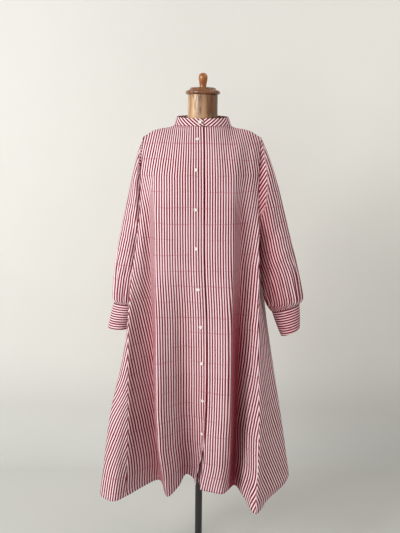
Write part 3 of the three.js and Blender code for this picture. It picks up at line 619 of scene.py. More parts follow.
FOLDS: tuple[Fold, ...] = tuple(
    Fold(*row)
    for row in (
        ("lap_edge", -0.03, (7, -128), (10, -132), (19, -133), (17, -118), (-6, -58, 320)),
        ("button_line", 0.12, (-20, -129), (-13, -133), (0, -131), (9, -94), (-18, -30, 329)),
        ("centre_dip", 0.42, (-55, -129), (-52, -127), (-48, -116), (-46, -74), (-42, -10, 334)),
        ("centre_flank", 1, (-98, -124), (-97, -128), (-96, -131), (-93, -122), (-66, -64, 316)),
        ("right_crest", 1.45, (-141, -107), (-139, -122), (-137, -141), (-130, -152), (-101, -114, 303)),
        ("right_dip", 1.72, (-163, -84), (-159, -78), (-154, -63), (-148, -41), (-134, -14, 315)),
        ("right_flank", 1.88, (-180, -72), (-191, -88), (-203, -86), (-202, -84), (-190, -58, 307)),
        ("right_seam", 3, None, (-212, -84), (-226, -100), (-227, -120), (-236, -108, 300)),
        ("right_roll", 3.14, None, (-209, -68), (-231, -84), (-263, -126), (-271, -138, 297)),
        ("right_corner", 3.3, None, (-199, -48), (-228, -56), (-294, -84), (-314, -108, 298)),
        ("right_side", 3.5, None, (-191, -16), (-218, -22), (-284, -14), (-325, -48, 302)),
        ("right_turn", 3.7, None, (-186, 26), (-202, 22), (-258, 36), (-300, 26, 305)),
        ("back_crest_1", 4, (-180, 80), (-190, 78), (-220, 80), (-252, 90), (-280, 96, 303)),
        ("back_dip_1", 4.2, (-142, 99), (-150, 92), (-165, 87), (-188, 84), (-216, 82, 309)),
        ("back_crest_2", 4.42, (-98, 118), (-106, 123), (-115, 131), (-130, 146), (-146, 162, 300)),
        ("back_dip_2", 4.7, (-50, 124), (-53, 118), (-56, 113), (-62, 107), (-70, 102, 310)),
        ("back_crest_3", 5, (2, 127), (5, 129), (9, 135), (16, 146), (22, 157, 301)),
        ("back_dip_3", 5.32, (54, 123), (60, 117), (68, 112), (80, 107), (96, 103, 311)),
        ("back_crest_4", 5.62, (104, 116), (112, 121), (124, 128), (146, 142), (172, 158, 300)),
        ("back_dip_4", 5.84, (142, 99), (150, 94), (166, 89), (194, 92), (226, 100, 309)),
        ("left_turn", 6, (180, 80), (190, 76), (209, 62), (252, 76), (284, 102, 316)),
        ("left_side", 6.38, None, (180, 16), (213, 8), (275, 28), (307, 46, 322)),
        ("left_corner", 6.66, None, (173, -36), (205, -44), (252, -30), (288, -26, 314)),
        ("left_roll", 6.86, None, (177, -74), (192, -86), (216, -104), (222, -126, 302)),
        ("left_seam", 7, None, (179, -97), (180, -120), (186, -168), (178, -207, 293)),
        ("left_flank", 8.12, (152, -80), (156, -84), (154, -90), (157, -108), (147, -108, 299)),
        ("left_dip", 8.3, (126, -92), (124, -82), (124, -72), (123, -42), (121, -24, 303)),
        ("left_crest", 8.6, (98, -119), (96, -129), (91, -137), (94, -134), (95, -88, 316)),
        ("left_panel", 9, (73, -126), (72, -132), (70, -139), (71, -140), (75, -120, 317)),
        ("centre_panel", 9.5, (44, -129), (46, -133), (48, -137), (48, -133), (41, -113, 319)),
        ("left_front_edge", 9.85, (22, -129), (26, -133), (34, -135), (31, -124), (8, -98, 320)),
    )
)

ARMHOLES: dict[Side, tuple[tuple[float, float, float], ...]] = {
    Side.RIGHT: (
        (-183, -12, 1450),
        (-189, -42, 1378),
        (-191, -56, 1295),
        (-193, -64, 1215),
        (-199, -66, 1142),
        (-188, -32, 1144),
        (-182, 12, 1184),
        (-186, 44, 1260),
        (-189, 54, 1340),
        (-187, 43, 1408),
        (-184, 15, 1446),
    ),
    Side.LEFT: (
        (182, -12, 1450),
        (178, -42, 1378),
        (176, -58, 1295),
        (176, -72, 1215),
        (179, -82, 1142),
        (175, -40, 1144),
        (177, 12, 1184),
        (184, 44, 1260),
        (188, 54, 1340),
        (187, 43, 1408),
        (184, 15, 1446),
    ),
}

SLEEVES: dict[Side, tuple[Ring, ...]] = {
    Side.RIGHT: (
        Ring(-205, 1392, -202, 1118, -12, 58),
        Ring(-229, 1290, -202, 1078, 0, 51),
        Ring(-253, 1180, -201, 1030, 5, 47),
        Ring(-274, 1070, -198, 985, 9, 47),
        Ring(-283, 975, -203, 945, 14, 48),
        Ring(-285, 930, -211, 922, 19, 42),
        Ring(-284, 915, -212, 910, 22, 36),
    ),
    Side.LEFT: (
        Ring(210, 1392, 183, 1120, -14, 60),
        Ring(243, 1290, 187, 1080, -14, 52),
        Ring(272, 1180, 190, 1034, -18, 48),
        Ring(300, 1070, 193, 990, -24, 48),
        Ring(321, 975, 203, 945, -25, 48),
        Ring(325, 940, 217, 917, -26, 42),
        Ring(317, 926, 229, 900, -26, 34),
    ),
}
CUFF_FEET = {
    Side.RIGHT: Ring(-303, 833, -238, 829, 20, 38),
    Side.LEFT: Ring(320, 850, 260, 822, -26, 38),
}

# The torso's sections: height, half width, depth in front, depth behind and roundness
TORSO: tuple[tuple[float, float, float, float, float], ...] = (
    (1483.6, 47.5, 47.5, 47.5, 2),
    (1481.6, 84, 49, 49, 1.15),
    (1477.1, 106.5, 50, 50, 1.15),
    (1470.6, 133.5, 52, 52, 1.2),
    (1462.4, 153.5, 55, 57, 1.35),
    (1446.8, 168, 60, 63, 1.6),
    (1422, 172, 70, 73, 1.8),
    (1380, 172, 86, 88, 1.9),
    (1330, 164, 101, 98, 2),
    (1280, 154, 113, 103, 2),
    (1225, 146, 112, 99, 2),
    (1150, 130, 97, 88, 2),
    (1080, 118, 86, 80, 2),
    (1000, 128, 92, 90, 2),
    (920, 142, 98, 100, 2),
    (860, 147, 99, 104, 2),
    (812, 143, 95, 100, 2),
    (792, 130, 84, 90, 2),
)

NECK_HALF_WIDTH = 89.0
NECK_HALF_DEPTH = 60.0
NECK_CENTRE_Y = -2.0
NECK_FRONT_Z = 1484.0
NECK_RISE = 8.0
YOKE_ANGLE = math.radians(70.5)
RIDGE_Z = 1488.0
RIDGE_FALL = 0.19
RIDGE_ROUND_FROM = 150.0
RIDGE_ROUND = 0.0168
SHOULDER_SEAM_DROP = 4.0
YOKE_BACK_Y = 97.0
YOKE_BACK_Z = 1404.0
YOKE_NECK_SHARE = 0.5
YOKE_SPREAD = 15.0
CHEST_Z = 1290.0
ARM_Z = 1060.0
WAIST_Z = 870.0
KNEE_Z = 520.0
EDGE_LOOP = 10.0
UNDERARM = 4
DOWN = (0.0, 0.0, -1.0)
OUTER_QUAD = ((0, 0), (1, 0), (1, 1), (0, 1))
INNER_QUAD = ((0, 0), (0, 1), (1, 1), (1, 0))
SINGLE_CLOTH = 0.9
COLLAR_CLOTH = 1.5
CUFF_CLOTH = 1.6
SEAM_GAP = 0.004
YOKE_END = 9
LAP_INSET = 2.8
TOP_FIT = 0.22
COLLAR_LEAN = 8.5
BIAS_ALONG = 0.58
BIAS_UP = 0.81
COLLAR_FRONT_HEIGHT = 23.0
COLLAR_BACK_HEIGHT = 28.0
COLLAR_END_ANGLE = math.radians(2)
COLLAR_LAP_ANGLE = math.radians(14)


class Pattern:
    """The body's seams and surfaces, worked out from the fold and armhole tables."""

    def __init__(self) -> None:
        """Works out the fold lines."""
        self.armholes = {side: np.array(rows, float) for side, rows in ARMHOLES.items()}
        self.names = [fold.name for fold in FOLDS]
        self.lines = [ClothLine(self._fold_points(fold)) for fold in FOLDS]
        self.right_seam = self.names.index("right_seam")
        self.left_seam = self.names.index("left_seam")
        edges = [fold.edge for fold in FOLDS]
        self.right_edges = np.array([*edges[: self.right_seam], 2.0])
        self.back_edges = np.array(edges[self.right_seam : self.left_seam + 1])
        tail = [EDGE_LOOP + edges[0], EDGE_LOOP + edges[1]]
        self.left_edges = np.array([8.0, *edges[self.left_seam + 1 :], *tail])
        self.left_edge_row = len(FOLDS) - self.left_seam

    def line(self, name: str) -> ClothLine:
        """The fold line of a name."""
        return self.lines[self.names.index(name)]

    def armhole(self, side: Side, count: Array) -> Array:
        """Points of an armhole, counted in rows of its table."""
        rows = self.armholes[side]
        return through(rows, np.atleast_1d(count) % len(rows), closed=True)

    @staticmethod
    def neckline(angle: Array) -> Array:
        """Points of the neckline, by angle from centre front towards the wearer's right."""
        angle = np.atleast_1d(angle)
        x = -NECK_HALF_WIDTH * np.sin(angle)
        y = NECK_CENTRE_Y - NECK_HALF_DEPTH * np.cos(angle)
        z = NECK_FRONT_Z + NECK_RISE * (1 - np.cos(angle)) / 2
        return np.stack([x, y, z], axis=-1)

    def shoulder_seam(self, side: Side, share: Array) -> Array:
        """Points of the seam from a front to the yoke, from the neckline to the armhole."""
        share = np.atleast_1d(share)[:, None]
        neck = self.neckline(-side.value * YOKE_ANGLE)
        tip = self.armhole(side, 0.0)
        point = between(neck, tip, share)
        past = np.maximum(0.0, np.abs(point[:, 0]) - RIDGE_ROUND_FROM)
        ridge = RIDGE_Z - RIDGE_FALL * (np.abs(point[:, 0]) - NECK_HALF_WIDTH) - RIDGE_ROUND * past**2
        arch = np.sin(math.pi * share[:, 0])
        point[:, 2] = between(point[:, 2], ridge - SHOULDER_SEAM_DROP, arch)
        return point

    def yoke_seam(self, side: Side, share: Array) -> Array:
        """Points of the back yoke seam, from the armhole to the centre back."""
        share = np.atleast_1d(share)
        end = self.armhole(side, float(YOKE_END))[0]
        x = end[0] * (1 - share)
        y = between(YOKE_BACK_Y, end[1], (1 - share) ** 2.2)
        z = between(YOKE_BACK_Z, end[2], 1 - share)
        return np.stack([x, y, z], axis=-1)

    def top_edge(self, edges: Array) -> Array:
        """Points of the body's top edge, counted as the fold table counts it."""
        points = []
        for edge in np.atleast_1d(edges) % EDGE_LOOP:
            side = Side.LEFT if edge > EDGE_LOOP / 2 else Side.RIGHT
            a = min(edge, EDGE_LOOP - edge)
            if a <= 1:
                points.append(self.neckline(-side.value * YOKE_ANGLE * a)[0])
            elif a <= 2:
                points.append(self.shoulder_seam(side, a - 1)[0])
            elif a <= 3:
                points.append(self.armhole(side, (a - 2) * UNDERARM)[0])
            elif a <= 4:
                points.append(self.armhole(side, between(UNDERARM, YOKE_END, a - 3))[0])
            else:
                points.append(self.yoke_seam(side, a - 4)[0])
        return np.array(points)

    def _fold_points(self, fold: Fold) -> Array:
        """Close, evenly spaced points down one fold.

        Args:
            fold: its row of the table.

        Returns:
            (n, 3) points.
        """
        top = self.top_edge(fold.edge)[0]
        points = [top]
        if fold.chest:
            x, y = fold.chest
            upper = (between(top[0], x, 0.5), between(top[1], y, 0.7), between(top[2], CHEST_Z, 0.33))
            points += [np.array(upper), np.array([x, y, CHEST_Z])]
        points.append(np.array([*fold.arm, min(ARM_Z, top[2] - 70)]))
        points.append(np.array([*fold.waist, WAIST_Z]))
        points.append(np.array([*fold.knee, KNEE_Z]))
        points.append(np.array(fold.hem))
        dense = through(np.array(points), np.linspace(0, len(points) - 1, 900))
        return ClothLine(dense).at(np.linspace(0, 1, 420))

    def _by_height(self, name: str, away: Sequence[float]) -> Callable[[Array, Array], Array]:
        """The neighbour of a side seam: the named fold at the seam's height, or free above it."""
        line = self.line(name)

        def neighbour(end: Array, v: Array) -> Array:
            """Its points for the seam's points."""
            share = smooth_step(line.points[0, 2] - end[:, 2], 0, 60)[:, None]
            return between(end + np.array(away, float), line.at_height(end[:, 2]), share)

        return neighbour

    def _by_share(self, name: str) -> Callable[[Array, Array], Array]:
        """The neighbour of a front edge: the named fold at the same share of length."""
        line = self.line(name)
        return lambda end, v: line.at(v)

    def _surface(
        self,
        lines: Sequence[ClothLine],
        edges: Array,
        before: Callable[[Array, Array], Array],
        after: Callable[[Array, Array], Array],
        u: Array,
        v: Array,
    ) -> Array:
        """A surface through fold lines, as a grid.

        Args:
            lines: the panel's lines.
            edges: where each starts on the top edge.
            before: the neighbour before the first line.
            after: the neighbour after the last line.
            u: columns, counted in lines.
            v: rows, from 0 at the top edge to 1 at the hem.

        Returns:
            (columns, rows, 3) points.
        """

        def rings(shares: Array) -> Array:
            """The control points round each row."""
            own = [line.at(shares) for line in lines]
            return np.stack([before(own[0], shares), *own, after(own[-1], shares)], axis=1)

        places = u + 1.0
        grid = through(rings(v), places)
        last = len(lines) - 1
        inside = np.clip(u, 0, last)
        exact = self.top_edge(np.interp(inside, np.arange(last + 1), edges))
        rough = through(rings(np.zeros(1)), places)[0]
        ease = np.where(v < TOP_FIT, (1 - v / TOP_FIT) ** 2, 0.0)
        grid += ease[:, None, None] * (exact - rough)[None]
        return grid.transpose(1, 0, 2)

    def _front_side_line(self, side: Side, seam: int) -> ClothLine:
        """Down the armhole and then down the side seam."""
        armhole = self.armhole(side, np.linspace(0, UNDERARM, 160))
        return ClothLine(np.concatenate([armhole, self.lines[seam].points[1:]]))

    def right_front(self, u: Array, v: Array) -> Array:
        """The right front's grid."""
        side = self._front_side_line(Side.RIGHT, self.right_seam)
        lines = [*self.lines[: self.right_seam], side]
        before = self._by_share("left_front_edge")
        after = self._by_height("right_roll", (-14, 18, 0))
        return self._surface(lines, self.right_edges, before, after, u, v)

    def back(self, u: Array, v: Array) -> Array:
        """The back's grid."""
        lines = self.lines[self.right_seam : self.left_seam + 1]
        before = self._by_height("right_flank", (10, -14, 0))
        after = self._by_height("left_flank", (-16, -10, 0))
        return self._surface(lines, self.back_edges, before, after, u, v)

    def left_front(self, u: Array, v: Array) -> Array:
        """The left front's grid, sunk behind the right one near its edge."""
        side = self._front_side_line(Side.LEFT, self.left_seam)
        lines = [side, *self.lines[self.left_seam + 1 :], self.lines[0], self.lines[1]]
        before = self._by_height("left_roll", (14, 18, 0))
        after = self._by_share("centre_dip")
        grid = self._surface(lines, self.left_edges, before, after, u, v)
        row = self.left_edge_row
        sink = smooth_step(u, row - 0.75, row - 0.12)[:, None, None]
        return grid - grid_normals(grid) * LAP_INSET * sink

    def yoke(self, s: Array, w: Array) -> Array:
        """The yoke's grid, from the right armhole (s = -1) to the left one, and from neck to back seam."""
        columns = []
        for place in s:
            side = Side.RIGHT if place < 0 else Side.LEFT
            reach = min(abs(place), 1.0)
            if reach < YOKE_NECK_SHARE:
                angle = -side.value * between(math.pi, YOKE_ANGLE, reach / YOKE_NECK_SHARE)
                top = self.neckline(angle)[0]
            else:
                top = self.shoulder_seam(side, (reach - YOKE_NECK_SHARE) / (1 - YOKE_NECK_SHARE))[0]
            bottom = self.yoke_seam(side, 1 - reach)[0]
            forward = min(max((NECK_HALF_DEPTH - top[1]) / (NECK_HALF_DEPTH + 20), 0), 1)
            arch = (top[2] - bottom[2]) * between(0.1, 0.24, forward)
            beside = 1 - float(smooth_step(abs(reach - YOKE_NECK_SHARE), 0, 0.4))
            spread = side.value * YOKE_SPREAD * beside
            over = between(top, bottom, 0.35) + np.array([spread, 0.25 * arch, arch])
            down = between(top, bottom, 0.7) + np.array([spread * 0.5, 0.35 * arch, 0.62 * arch])
            line = through(np.array([top, over, down, bottom]), w * 3)
            loop = self.armhole(side, between(len(self.armholes[side]), YOKE_END, w))
            columns.append(between(line, loop, float(smooth_step(reach, 0.8, 1))))
        return np.array(columns)


# Grids of cloth


def grid_normals(grid: Array, ring: bool = False) -> Array:
    """Unit normals of a grid, across its columns and then down its rows.

    Args:
        grid: (columns, rows, 3) points.
        ring: whether the last column leads back to the first.

    Returns:
        Normals of the same shape.
    """
    if ring:
        across = np.roll(grid, -1, axis=0) - np.roll(grid, 1, axis=0)
    else:
        across = np.gradient(grid, axis=0)
    normal = np.cross(across, np.gradient(grid, axis=1))
    return normal / np.maximum(np.linalg.norm(normal, axis=2, keepdims=True), 1e-12)


# How much of the depth counts across the stripes where the cloth slants: easing in fans them open there
SLANT_SHARE = 0.3


def section_lengths(grid: Array, axis: Sequence[float], start: int, ring: bool = False) -> Array:
    """How far each point lies from one column, measured round level sections of the cloth.

    Args:
        grid: (columns, rows, 3) points.
        axis: the direction that the sections are square to, from the top down.
        start: the column to measure from.
        ring: whether the columns close; the far side is then half a turn away.

    Returns:
        (columns, rows) lengths, negative before the start column.
    """
    axis = np.array(axis, float)
    columns = grid.shape[0]
    levels = grid @ axis
    result = np.zeros(grid.shape[:2])
    ahead = columns // 2 if ring else columns - 1 - start
    for count, sign in ((ahead, 1), (columns - 1 - ahead, -1)):
        for n in range(1, count + 1):
            i, k = (start + sign * n) % columns, (start + sign * (n - 1)) % columns
            order = np.maximum.accumulate(levels[k])
            near = np.stack([np.interp(levels[i], order, c) for c in grid[k].T], axis=-1)
            gap = grid[i] - near
            flat = gap - (gap @ axis)[:, None] * axis
            facing = np.abs(flat[:, 0]) / np.maximum(np.linalg.norm(flat, axis=1), 1e-9)
            flat[:, 1] *= between(1.0, SLANT_SHARE, smooth_step(facing, 0.08, 0.3))
            result[i] = np.interp(levels[i], order, result[k]) + sign * np.linalg.norm(flat, axis=1)
    return result


def run_down(grid: Array) -> Array:
    """Distance of each point down its column."""
    step = np.linalg.norm(np.diff(grid, axis=1), axis=2)
    return np.concatenate([np.zeros((grid.shape[0], 1)), np.cumsum(step, axis=1)], axis=1)


def run_across(grid: Array) -> Array:
    """Distance of each point along its row."""
    return run_down(grid.transpose(1, 0, 2)).T


@dataclass(frozen=True)
class Crease:
    """A soft trough or ridge pressed into the cloth, between two places on its front view."""

    start_x: float
    start_z: float
    end_x: float
    end_z: float
    width: float
    depth: float

    def press(self, grid: Array) -> Array:
        """How far each point moves along its normal, in mm; troughs are negative.

        Args:
            grid: (columns, rows, 3) points in mm.

        Returns:
            (columns, rows) moves.
        """
        flat = grid[..., [0, 2]]
        start = np.array([self.start_x, self.start_z], float)
        run = np.array([self.end_x, self.end_z], float) - start
        share = np.clip(((flat - start) @ run) / (run @ run), 0, 1)
        off = np.linalg.norm(flat - (start + share[..., None] * run), axis=2)
        taper = np.sin(math.pi * np.clip(share, 0.02, 0.98)) ** 0.6
        return self.depth * taper * np.exp(-((off / self.width) ** 2))


def creases(*rows: tuple[float, ...]) -> tuple[Crease, ...]:
    """Creases from rows of start X and Z, end X and Z, width and depth, in mm."""
    return tuple(Crease(*row) for row in rows)


def add_mesh(name: str, vertices: Sequence[Any], faces: Sequence[Sequence[int]]) -> bpy.types.Object:
    """Adds a smooth mesh object to the scene.

    Args:
        name: the name of both.
        vertices: places in metres.
        faces: vertex numbers of each face.

    Returns:
        The object.
    """
    mesh = bpy.data.meshes.new(name)
    mesh.from_pydata(vertices, [], faces)
    mesh.polygons.foreach_set("use_smooth", [True] * len(mesh.polygons))
    mesh.update()
    piece = bpy.data.objects.new(name, mesh)
    bpy.context.scene.collection.objects.link(piece)
    return piece


def hold(piece: bpy.types.Object, material: bpy.types.Material, slot: str, *nodes: str) -> None:
    """Gives a piece its finish and its place in the frame.

    Args:
        piece: the piece.
        material: its finish.
        slot: not used.
        nodes: the nodes that it stands for.
    """
    piece.data.materials.append(material)
    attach(piece, BODY)
    if nodes:
        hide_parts(*nodes)


@dataclass
class ClothPiece:
    """A panel of cloth: a fine grid on its solid's form, with creases, as a thin closed shell."""

    name: str
    grid: Array
    values: Mapping[str, Array]
    sewn: Mapping[str, float]
    thickness: float = SINGLE_CLOTH
    ring: bool = False
    creases: Sequence[Crease] = ()
    levels: Sequence[tuple[float, float, float]] = ()
    ripple: float = 0.0

    def pressed(self) -> Array:
        """The grid with its creases, its pressed lines and its fine ripple.

        Returns:
            (columns, rows, 3) points in mm.
        """
        move = np.zeros(self.grid.shape[:2])
        for crease in self.creases:
            move += crease.press(self.grid)
        x, y, z = (self.grid[..., k] for k in range(3))
        for height, depth, phase in self.levels:
            wander = 3.2 * np.sin(x / 61 + phase) + 1.6 * np.sin(x / 23 + 2.3 * phase + y / 47)
            fade = 0.55 + 0.45 * np.sin(x / 88 + 3.1 * phase + y / 70)
            off = z - height - wander
            move += depth * fade * (np.exp(-((off / 3.4) ** 2)) - 0.6 * np.exp(-(((off - 8) / 5.5) ** 2)))
        if self.ripple:
            wave = np.sin(x / 9.5 + 1.7 * np.sin(z / 140)) * np.sin(z / 37 + x / 60)
            wave += 0.7 * np.sin(x / 5.2 + z / 95) * np.sin(z / 21 + y / 33)
            move += self.ripple * wave
        return self.grid + grid_normals(self.grid, self.ring) * (move * self._held())[..., None]

    def _held(self) -> Array:
        """0 at the sewn edges, where nothing moves, and 1 inside."""
        below, beside = run_down(self.grid), run_across(self.grid)
        distance = {
            "top": below,
            "foot": below[:, -1:] - below,
            "first": beside,
            "last": beside[-1:] - beside,
        }
        free = np.ones(below.shape)
        for edge, reach in self.sewn.items():
            free *= smooth_step(distance[edge], 0, reach)
        return free

    def make(self) -> tuple[bpy.types.Object, Array]:
        """Builds the closed shell.

        Returns:
            The object, in metres, and its outer points, in mm.
        """
        outer = self.pressed()
        inner = outer - grid_normals(outer, self.ring) * self.thickness
        vertices = np.concatenate([outer.reshape(-1, 3), inner.reshape(-1, 3)]) * MM
        faces, corners = self._faces(*outer.shape[:2])
        piece = add_mesh(self.name, vertices.tolist(), faces.tolist())
        mesh = piece.data
        for name, value in self.values.items():
            layer = mesh.attributes.new(name, "FLOAT", "POINT")
            layer.data.foreach_set("value", np.tile(value.reshape(-1), 2).astype(np.float32))
        layout = mesh.uv_layers.new(name="OFBake")
        layout.data.foreach_set("uv", corners.reshape(-1).astype(np.float32))
        area = sum(face.area for face in mesh.polygons[: len(faces) // 2])
        widths, length = run_across(outer)[-1], float(run_down(outer)[:, -1].max())
        LOG.info("%s: %d faces, %.3f square metres", self.name, len(faces), area)
        LOG.info("  %.0f mm across at its top, %.0f at its foot, %.0f long", widths[0], widths[-1], length)
        return piece, outer

    def _faces(self, columns: int, rows: int) -> tuple[Array, Array]:
        """Faces and their places on the bake map.

        Args:
            columns: columns of the grid.
            rows: rows of the grid.

        Returns:
            (faces, 4) vertex numbers and (faces, 4, 2) map places.
        """
        last = columns if self.ring else columns - 1

        def number(layer: int, a: Any, b: Any) -> Array:
            """Vertex numbers on the outer (0) or inner (1) layer."""
            return layer * columns * rows + a % columns * rows + b

        i, j = (each.reshape(-1) for each in np.meshgrid(np.arange(last), np.arange(rows - 1), indexing="ij"))
        faces, maps = [], []
        for layer, left, order in ((0, 0.015, OUTER_QUAD), (1, 0.515, INNER_QUAD)):
            faces.append(np.stack([number(layer, i + a, j + b) for a, b in order], axis=1))
            spots = [(left + 0.47 * (i + a) / last, 0.03 + 0.9 * (j + b) / (rows - 1)) for a, b in order]
            maps.append(np.stack([np.stack(spot, axis=-1) for spot in spots], axis=1))
        rims = [(0.94, 0, last, False), (0.953, rows - 1, last, True)]
        if not self.ring:
            rims += [(0.966, 0, rows - 1, True), (0.979, columns - 1, rows - 1, False)]
        for n, (low, place, steps, flip) in enumerate(rims):
            m = np.arange(steps)
            corners = [(0, m, low), (1, m, low + 0.006), (1, m + 1, low + 0.006), (0, m + 1, low)]
            if flip:
                corners = [corners[k] for k in (0, 3, 2, 1)]
            level = n < 2
            ends = [(layer, at, place) if level else (layer, place, at) for layer, at, _ in corners]
            rim = [number(*end) for end in ends]
            faces.append(np.stack(rim, axis=1))
            spots = [(0.02 + 0.96 * at / steps, np.full(steps, high)) for _, at, high in corners]
            maps.append(np.stack([np.stack(spot, axis=-1) for spot in spots], axis=1))
        return np.concatenate(faces), np.concatenate(maps)


def panel_values(
    grid: Array,
    cut_x: Array,
    edge: Array,
    along: Array,
    reach: float = 42.0,
    full: float = 22.0,
    ring: bool = False,
) -> dict[str, Array]:
    """The values that the cotton's finish reads, in metres where they are lengths.

    Args:
        grid: the piece's points.
        cut_x: distance across the stripes.
        edge: distance from the nearest sewn edge.
        along: distance along that edge.
        reach: how wide a fold is, for the painted shade in it.
        full: how deep a fold is that gets the full painted shade.
        ring: whether the columns close.

    Returns:
        The values by name.
    """
    shape = grid.shape[:2]
    return {
        "cut_x": np.broadcast_to(cut_x, shape) * MM,
        "cut_y": (PUCKER_TOP_Z - grid[..., 2]) * MM,
        "edge": np.broadcast_to(edge, shape) * MM,
        "along": np.broadcast_to(along, shape) * MM,
        # Painted shade: how far each point lies in a fold, for darkening its colour
        "deep": np.clip(fold_depth(grid, reach, ring) / full, 0, 1),
    }


EVEN_STEP = 3.0


def fold_depth(grid: Array, reach: float, ring: bool = False) -> Array:
    """How far each point lies behind the cloth on both sides of it, along its row.

    Args:
        grid: (columns, rows, 3) points.
        reach: how far to each side counts, in mm.
        ring: whether the columns close.

    Returns:
        (columns, rows) depths in mm, negative on crests.
    """
    normal = grid_normals(grid, ring)
    depth = np.zeros(grid.shape[:2])
    for j in range(grid.shape[1]):
        row = grid[:, j]
        if ring:
            row = np.concatenate([row, row, row, row[:1]])
        place = np.concatenate([[0.0], np.cumsum(np.linalg.norm(np.diff(row, axis=0), axis=1))])
        even = np.arange(0.0, place[-1], EVEN_STEP)
        line = np.stack([np.interp(even, place, c) for c in row.T], axis=-1)
        half = int(reach * 2.2 / EVEN_STEP)
        weight = np.exp(-((np.arange(-half, half + 1) * EVEN_STEP / reach) ** 2))
        weight /= weight.sum()
        padded = np.concatenate([line[half:0:-1], line, line[-2 : -half - 2 : -1]])
        mean = np.stack([np.convolve(c, weight, "valid") for c in padded.T], axis=-1)
        count = min(len(mean), len(even))
        near = np.stack([np.interp(place, even[:count], c[:count]) for c in mean.T], axis=-1)
        if ring:
            near = near[len(grid) : 2 * len(grid)]
        depth[:, j] = ((near - grid[:, j]) * normal[:, j]).sum(axis=1)
    return depth


def seam_values(grid: Array, hem: float) -> tuple[Array, Array]:
    """Distances from the stitched edges of a panel.

    Args:
        grid: the panel's points.
        hem: how deep its hem is turned up, in mm; its stitches run that far from the edge.

    Returns:
        Distance from the nearest line of sewing plus its usual 2.5 mm, and distance along it.
    """
    down, across = run_down(grid), run_across(grid)
    from_side = np.minimum(across, across[-1:] - across)
    from_end = np.minimum(down, np.abs(down[:, -1:] - down - hem + STITCH_INSET / MM))
    return np.minimum(from_side, from_end), np.where(from_side < from_end, down, across)


# The dress

FLARE_LIFT = 6.0
FLARE_TOP_Z = 490.0
FLARE_Z = 350.0


def below_knee(z: Array) -> Array:
    """How far the front opening gapes, from 0 above the last button to 1 at the hem."""
    return smooth_step(-z, -FLARE_TOP_Z, -FLARE_Z)


def edge_swing(edge: Array, z: Array) -> Array:
    """How far the front edge has swung to its right, so that the stripes keep straight on.

    Args:
        edge: (rows, 3) points of the edge.
        z: heights to read it at.

    Returns:
        The swing at each height, in mm.
    """
    x = np.interp(-z, -edge[:, 2], edge[:, 0])
    steady = float(np.interp(-FLARE_TOP_Z - 30, -edge[:, 2], edge[:, 0]))
    return np.where(z < FLARE_TOP_Z + 30, steady - x, 0.0)


@dataclass(frozen=True)
class DeepFold:
    """The deep fold beside a front's crest.

    It has a side, what it takes up as (height, mm), and how strong and red the painted shade in it is, from 0
    to 1.
    """

    side: Side
    taken: tuple[tuple[float, float], ...]
    closed: float

    def _edges(self, pattern: Pattern, grid: Array) -> list[Array]:
        """How far to the side its crest and its bottom lie at each point's height."""
        z = grid[..., 2]
        lines = (pattern.line(f"{self.side.word}_{place}") for place in ("crest", "dip"))
        return [np.abs(line.at_height(z.ravel())[:, 0]).reshape(z.shape) for line in lines]

    def taken_up(self, pattern: Pattern, grid: Array) -> Array:
        """What the fold and the sloped shoulder add to the distance across a front's stripes.

        Args:
            pattern: the body's pattern.
            grid: the front's points.

        Returns:
            (columns, rows) lengths in mm.
        """
        x, z = np.abs(grid[..., 0]), grid[..., 2]
        near, far = self._edges(pattern, grid)
        amount = np.interp(-z, [-height for height, _ in self.taken], [length for _, length in self.taken])
        rise = np.clip((z - FAN_FOOT_Z) / (NECK_FRONT_Z - FAN_FOOT_Z), 0, 1.2) ** 1.2
        return amount * smooth_step(x, near, far) + SHOULDER_FAN * smooth_step(x, 5, 150) * rise

    def shade(self, pattern: Pattern, grid: Array, deep: Array) -> Array:
        """Deepens the painted shade where the fold closes round the cloth.

        Args:
            pattern: the body's pattern.
            grid: the front's points.
            deep: the painted shade so far, from 0 to 1.

        Returns:
            The painted shade.
        """
        x, z = np.abs(grid[..., 0]), grid[..., 2]
        near, far = self._edges(pattern, grid)
        # Painted shade: between the fold's crest and its bottom, growing down the body
        inside = smooth_step(x, near - 1, near + 5) * (1 - smooth_step(x, far + 2, far + 22))
        inside = inside * smooth_step(-z, -FOLD_TOP_Z, -FOLD_OPEN_Z)
        inside = inside * (0.5 + 0.5 * smooth_step(-z, -ARM_Z, -FOLD_DEEP_Z))
        return np.maximum(deep, inside) * self.closed


# Heights where the painted shade in the deep folds starts, is fully on, and is deepest
FOLD_TOP_Z = 1330.0
FOLD_OPEN_Z = 1180.0
FOLD_DEEP_Z = 820.0
SHOULDER_FAN = 29.0
FAN_FOOT_Z = 1335.0
HEM_TURN = 18.0
RIGHT_TAKEN = ((1335, 0), (1230, 24), (1060, 46), (870, 42), (700, 48), (520, 68), (400, 92), (300, 118))
LEFT_TAKEN = ((1335, 0), (1200, 24), (1060, 46), (870, 66), (520, 84), (300, 92))
# The last number is how strongly painted shade darkens each deep fold
RIGHT_FOLD = DeepFold(Side.RIGHT, RIGHT_TAKEN, 0.5)
LEFT_FOLD = DeepFold(Side.LEFT, LEFT_TAKEN, 0.85)

# The lines pressed across the body: height, depth in mm and phase
PRESSED_LINES: tuple[tuple[float, float, float], ...] = tuple(
    (PUCKER_TOP_Z - PUCKER_PITCH * k, -0.55 if k % 3 else 0.45, 1.7 * k) for k in range(22)
)

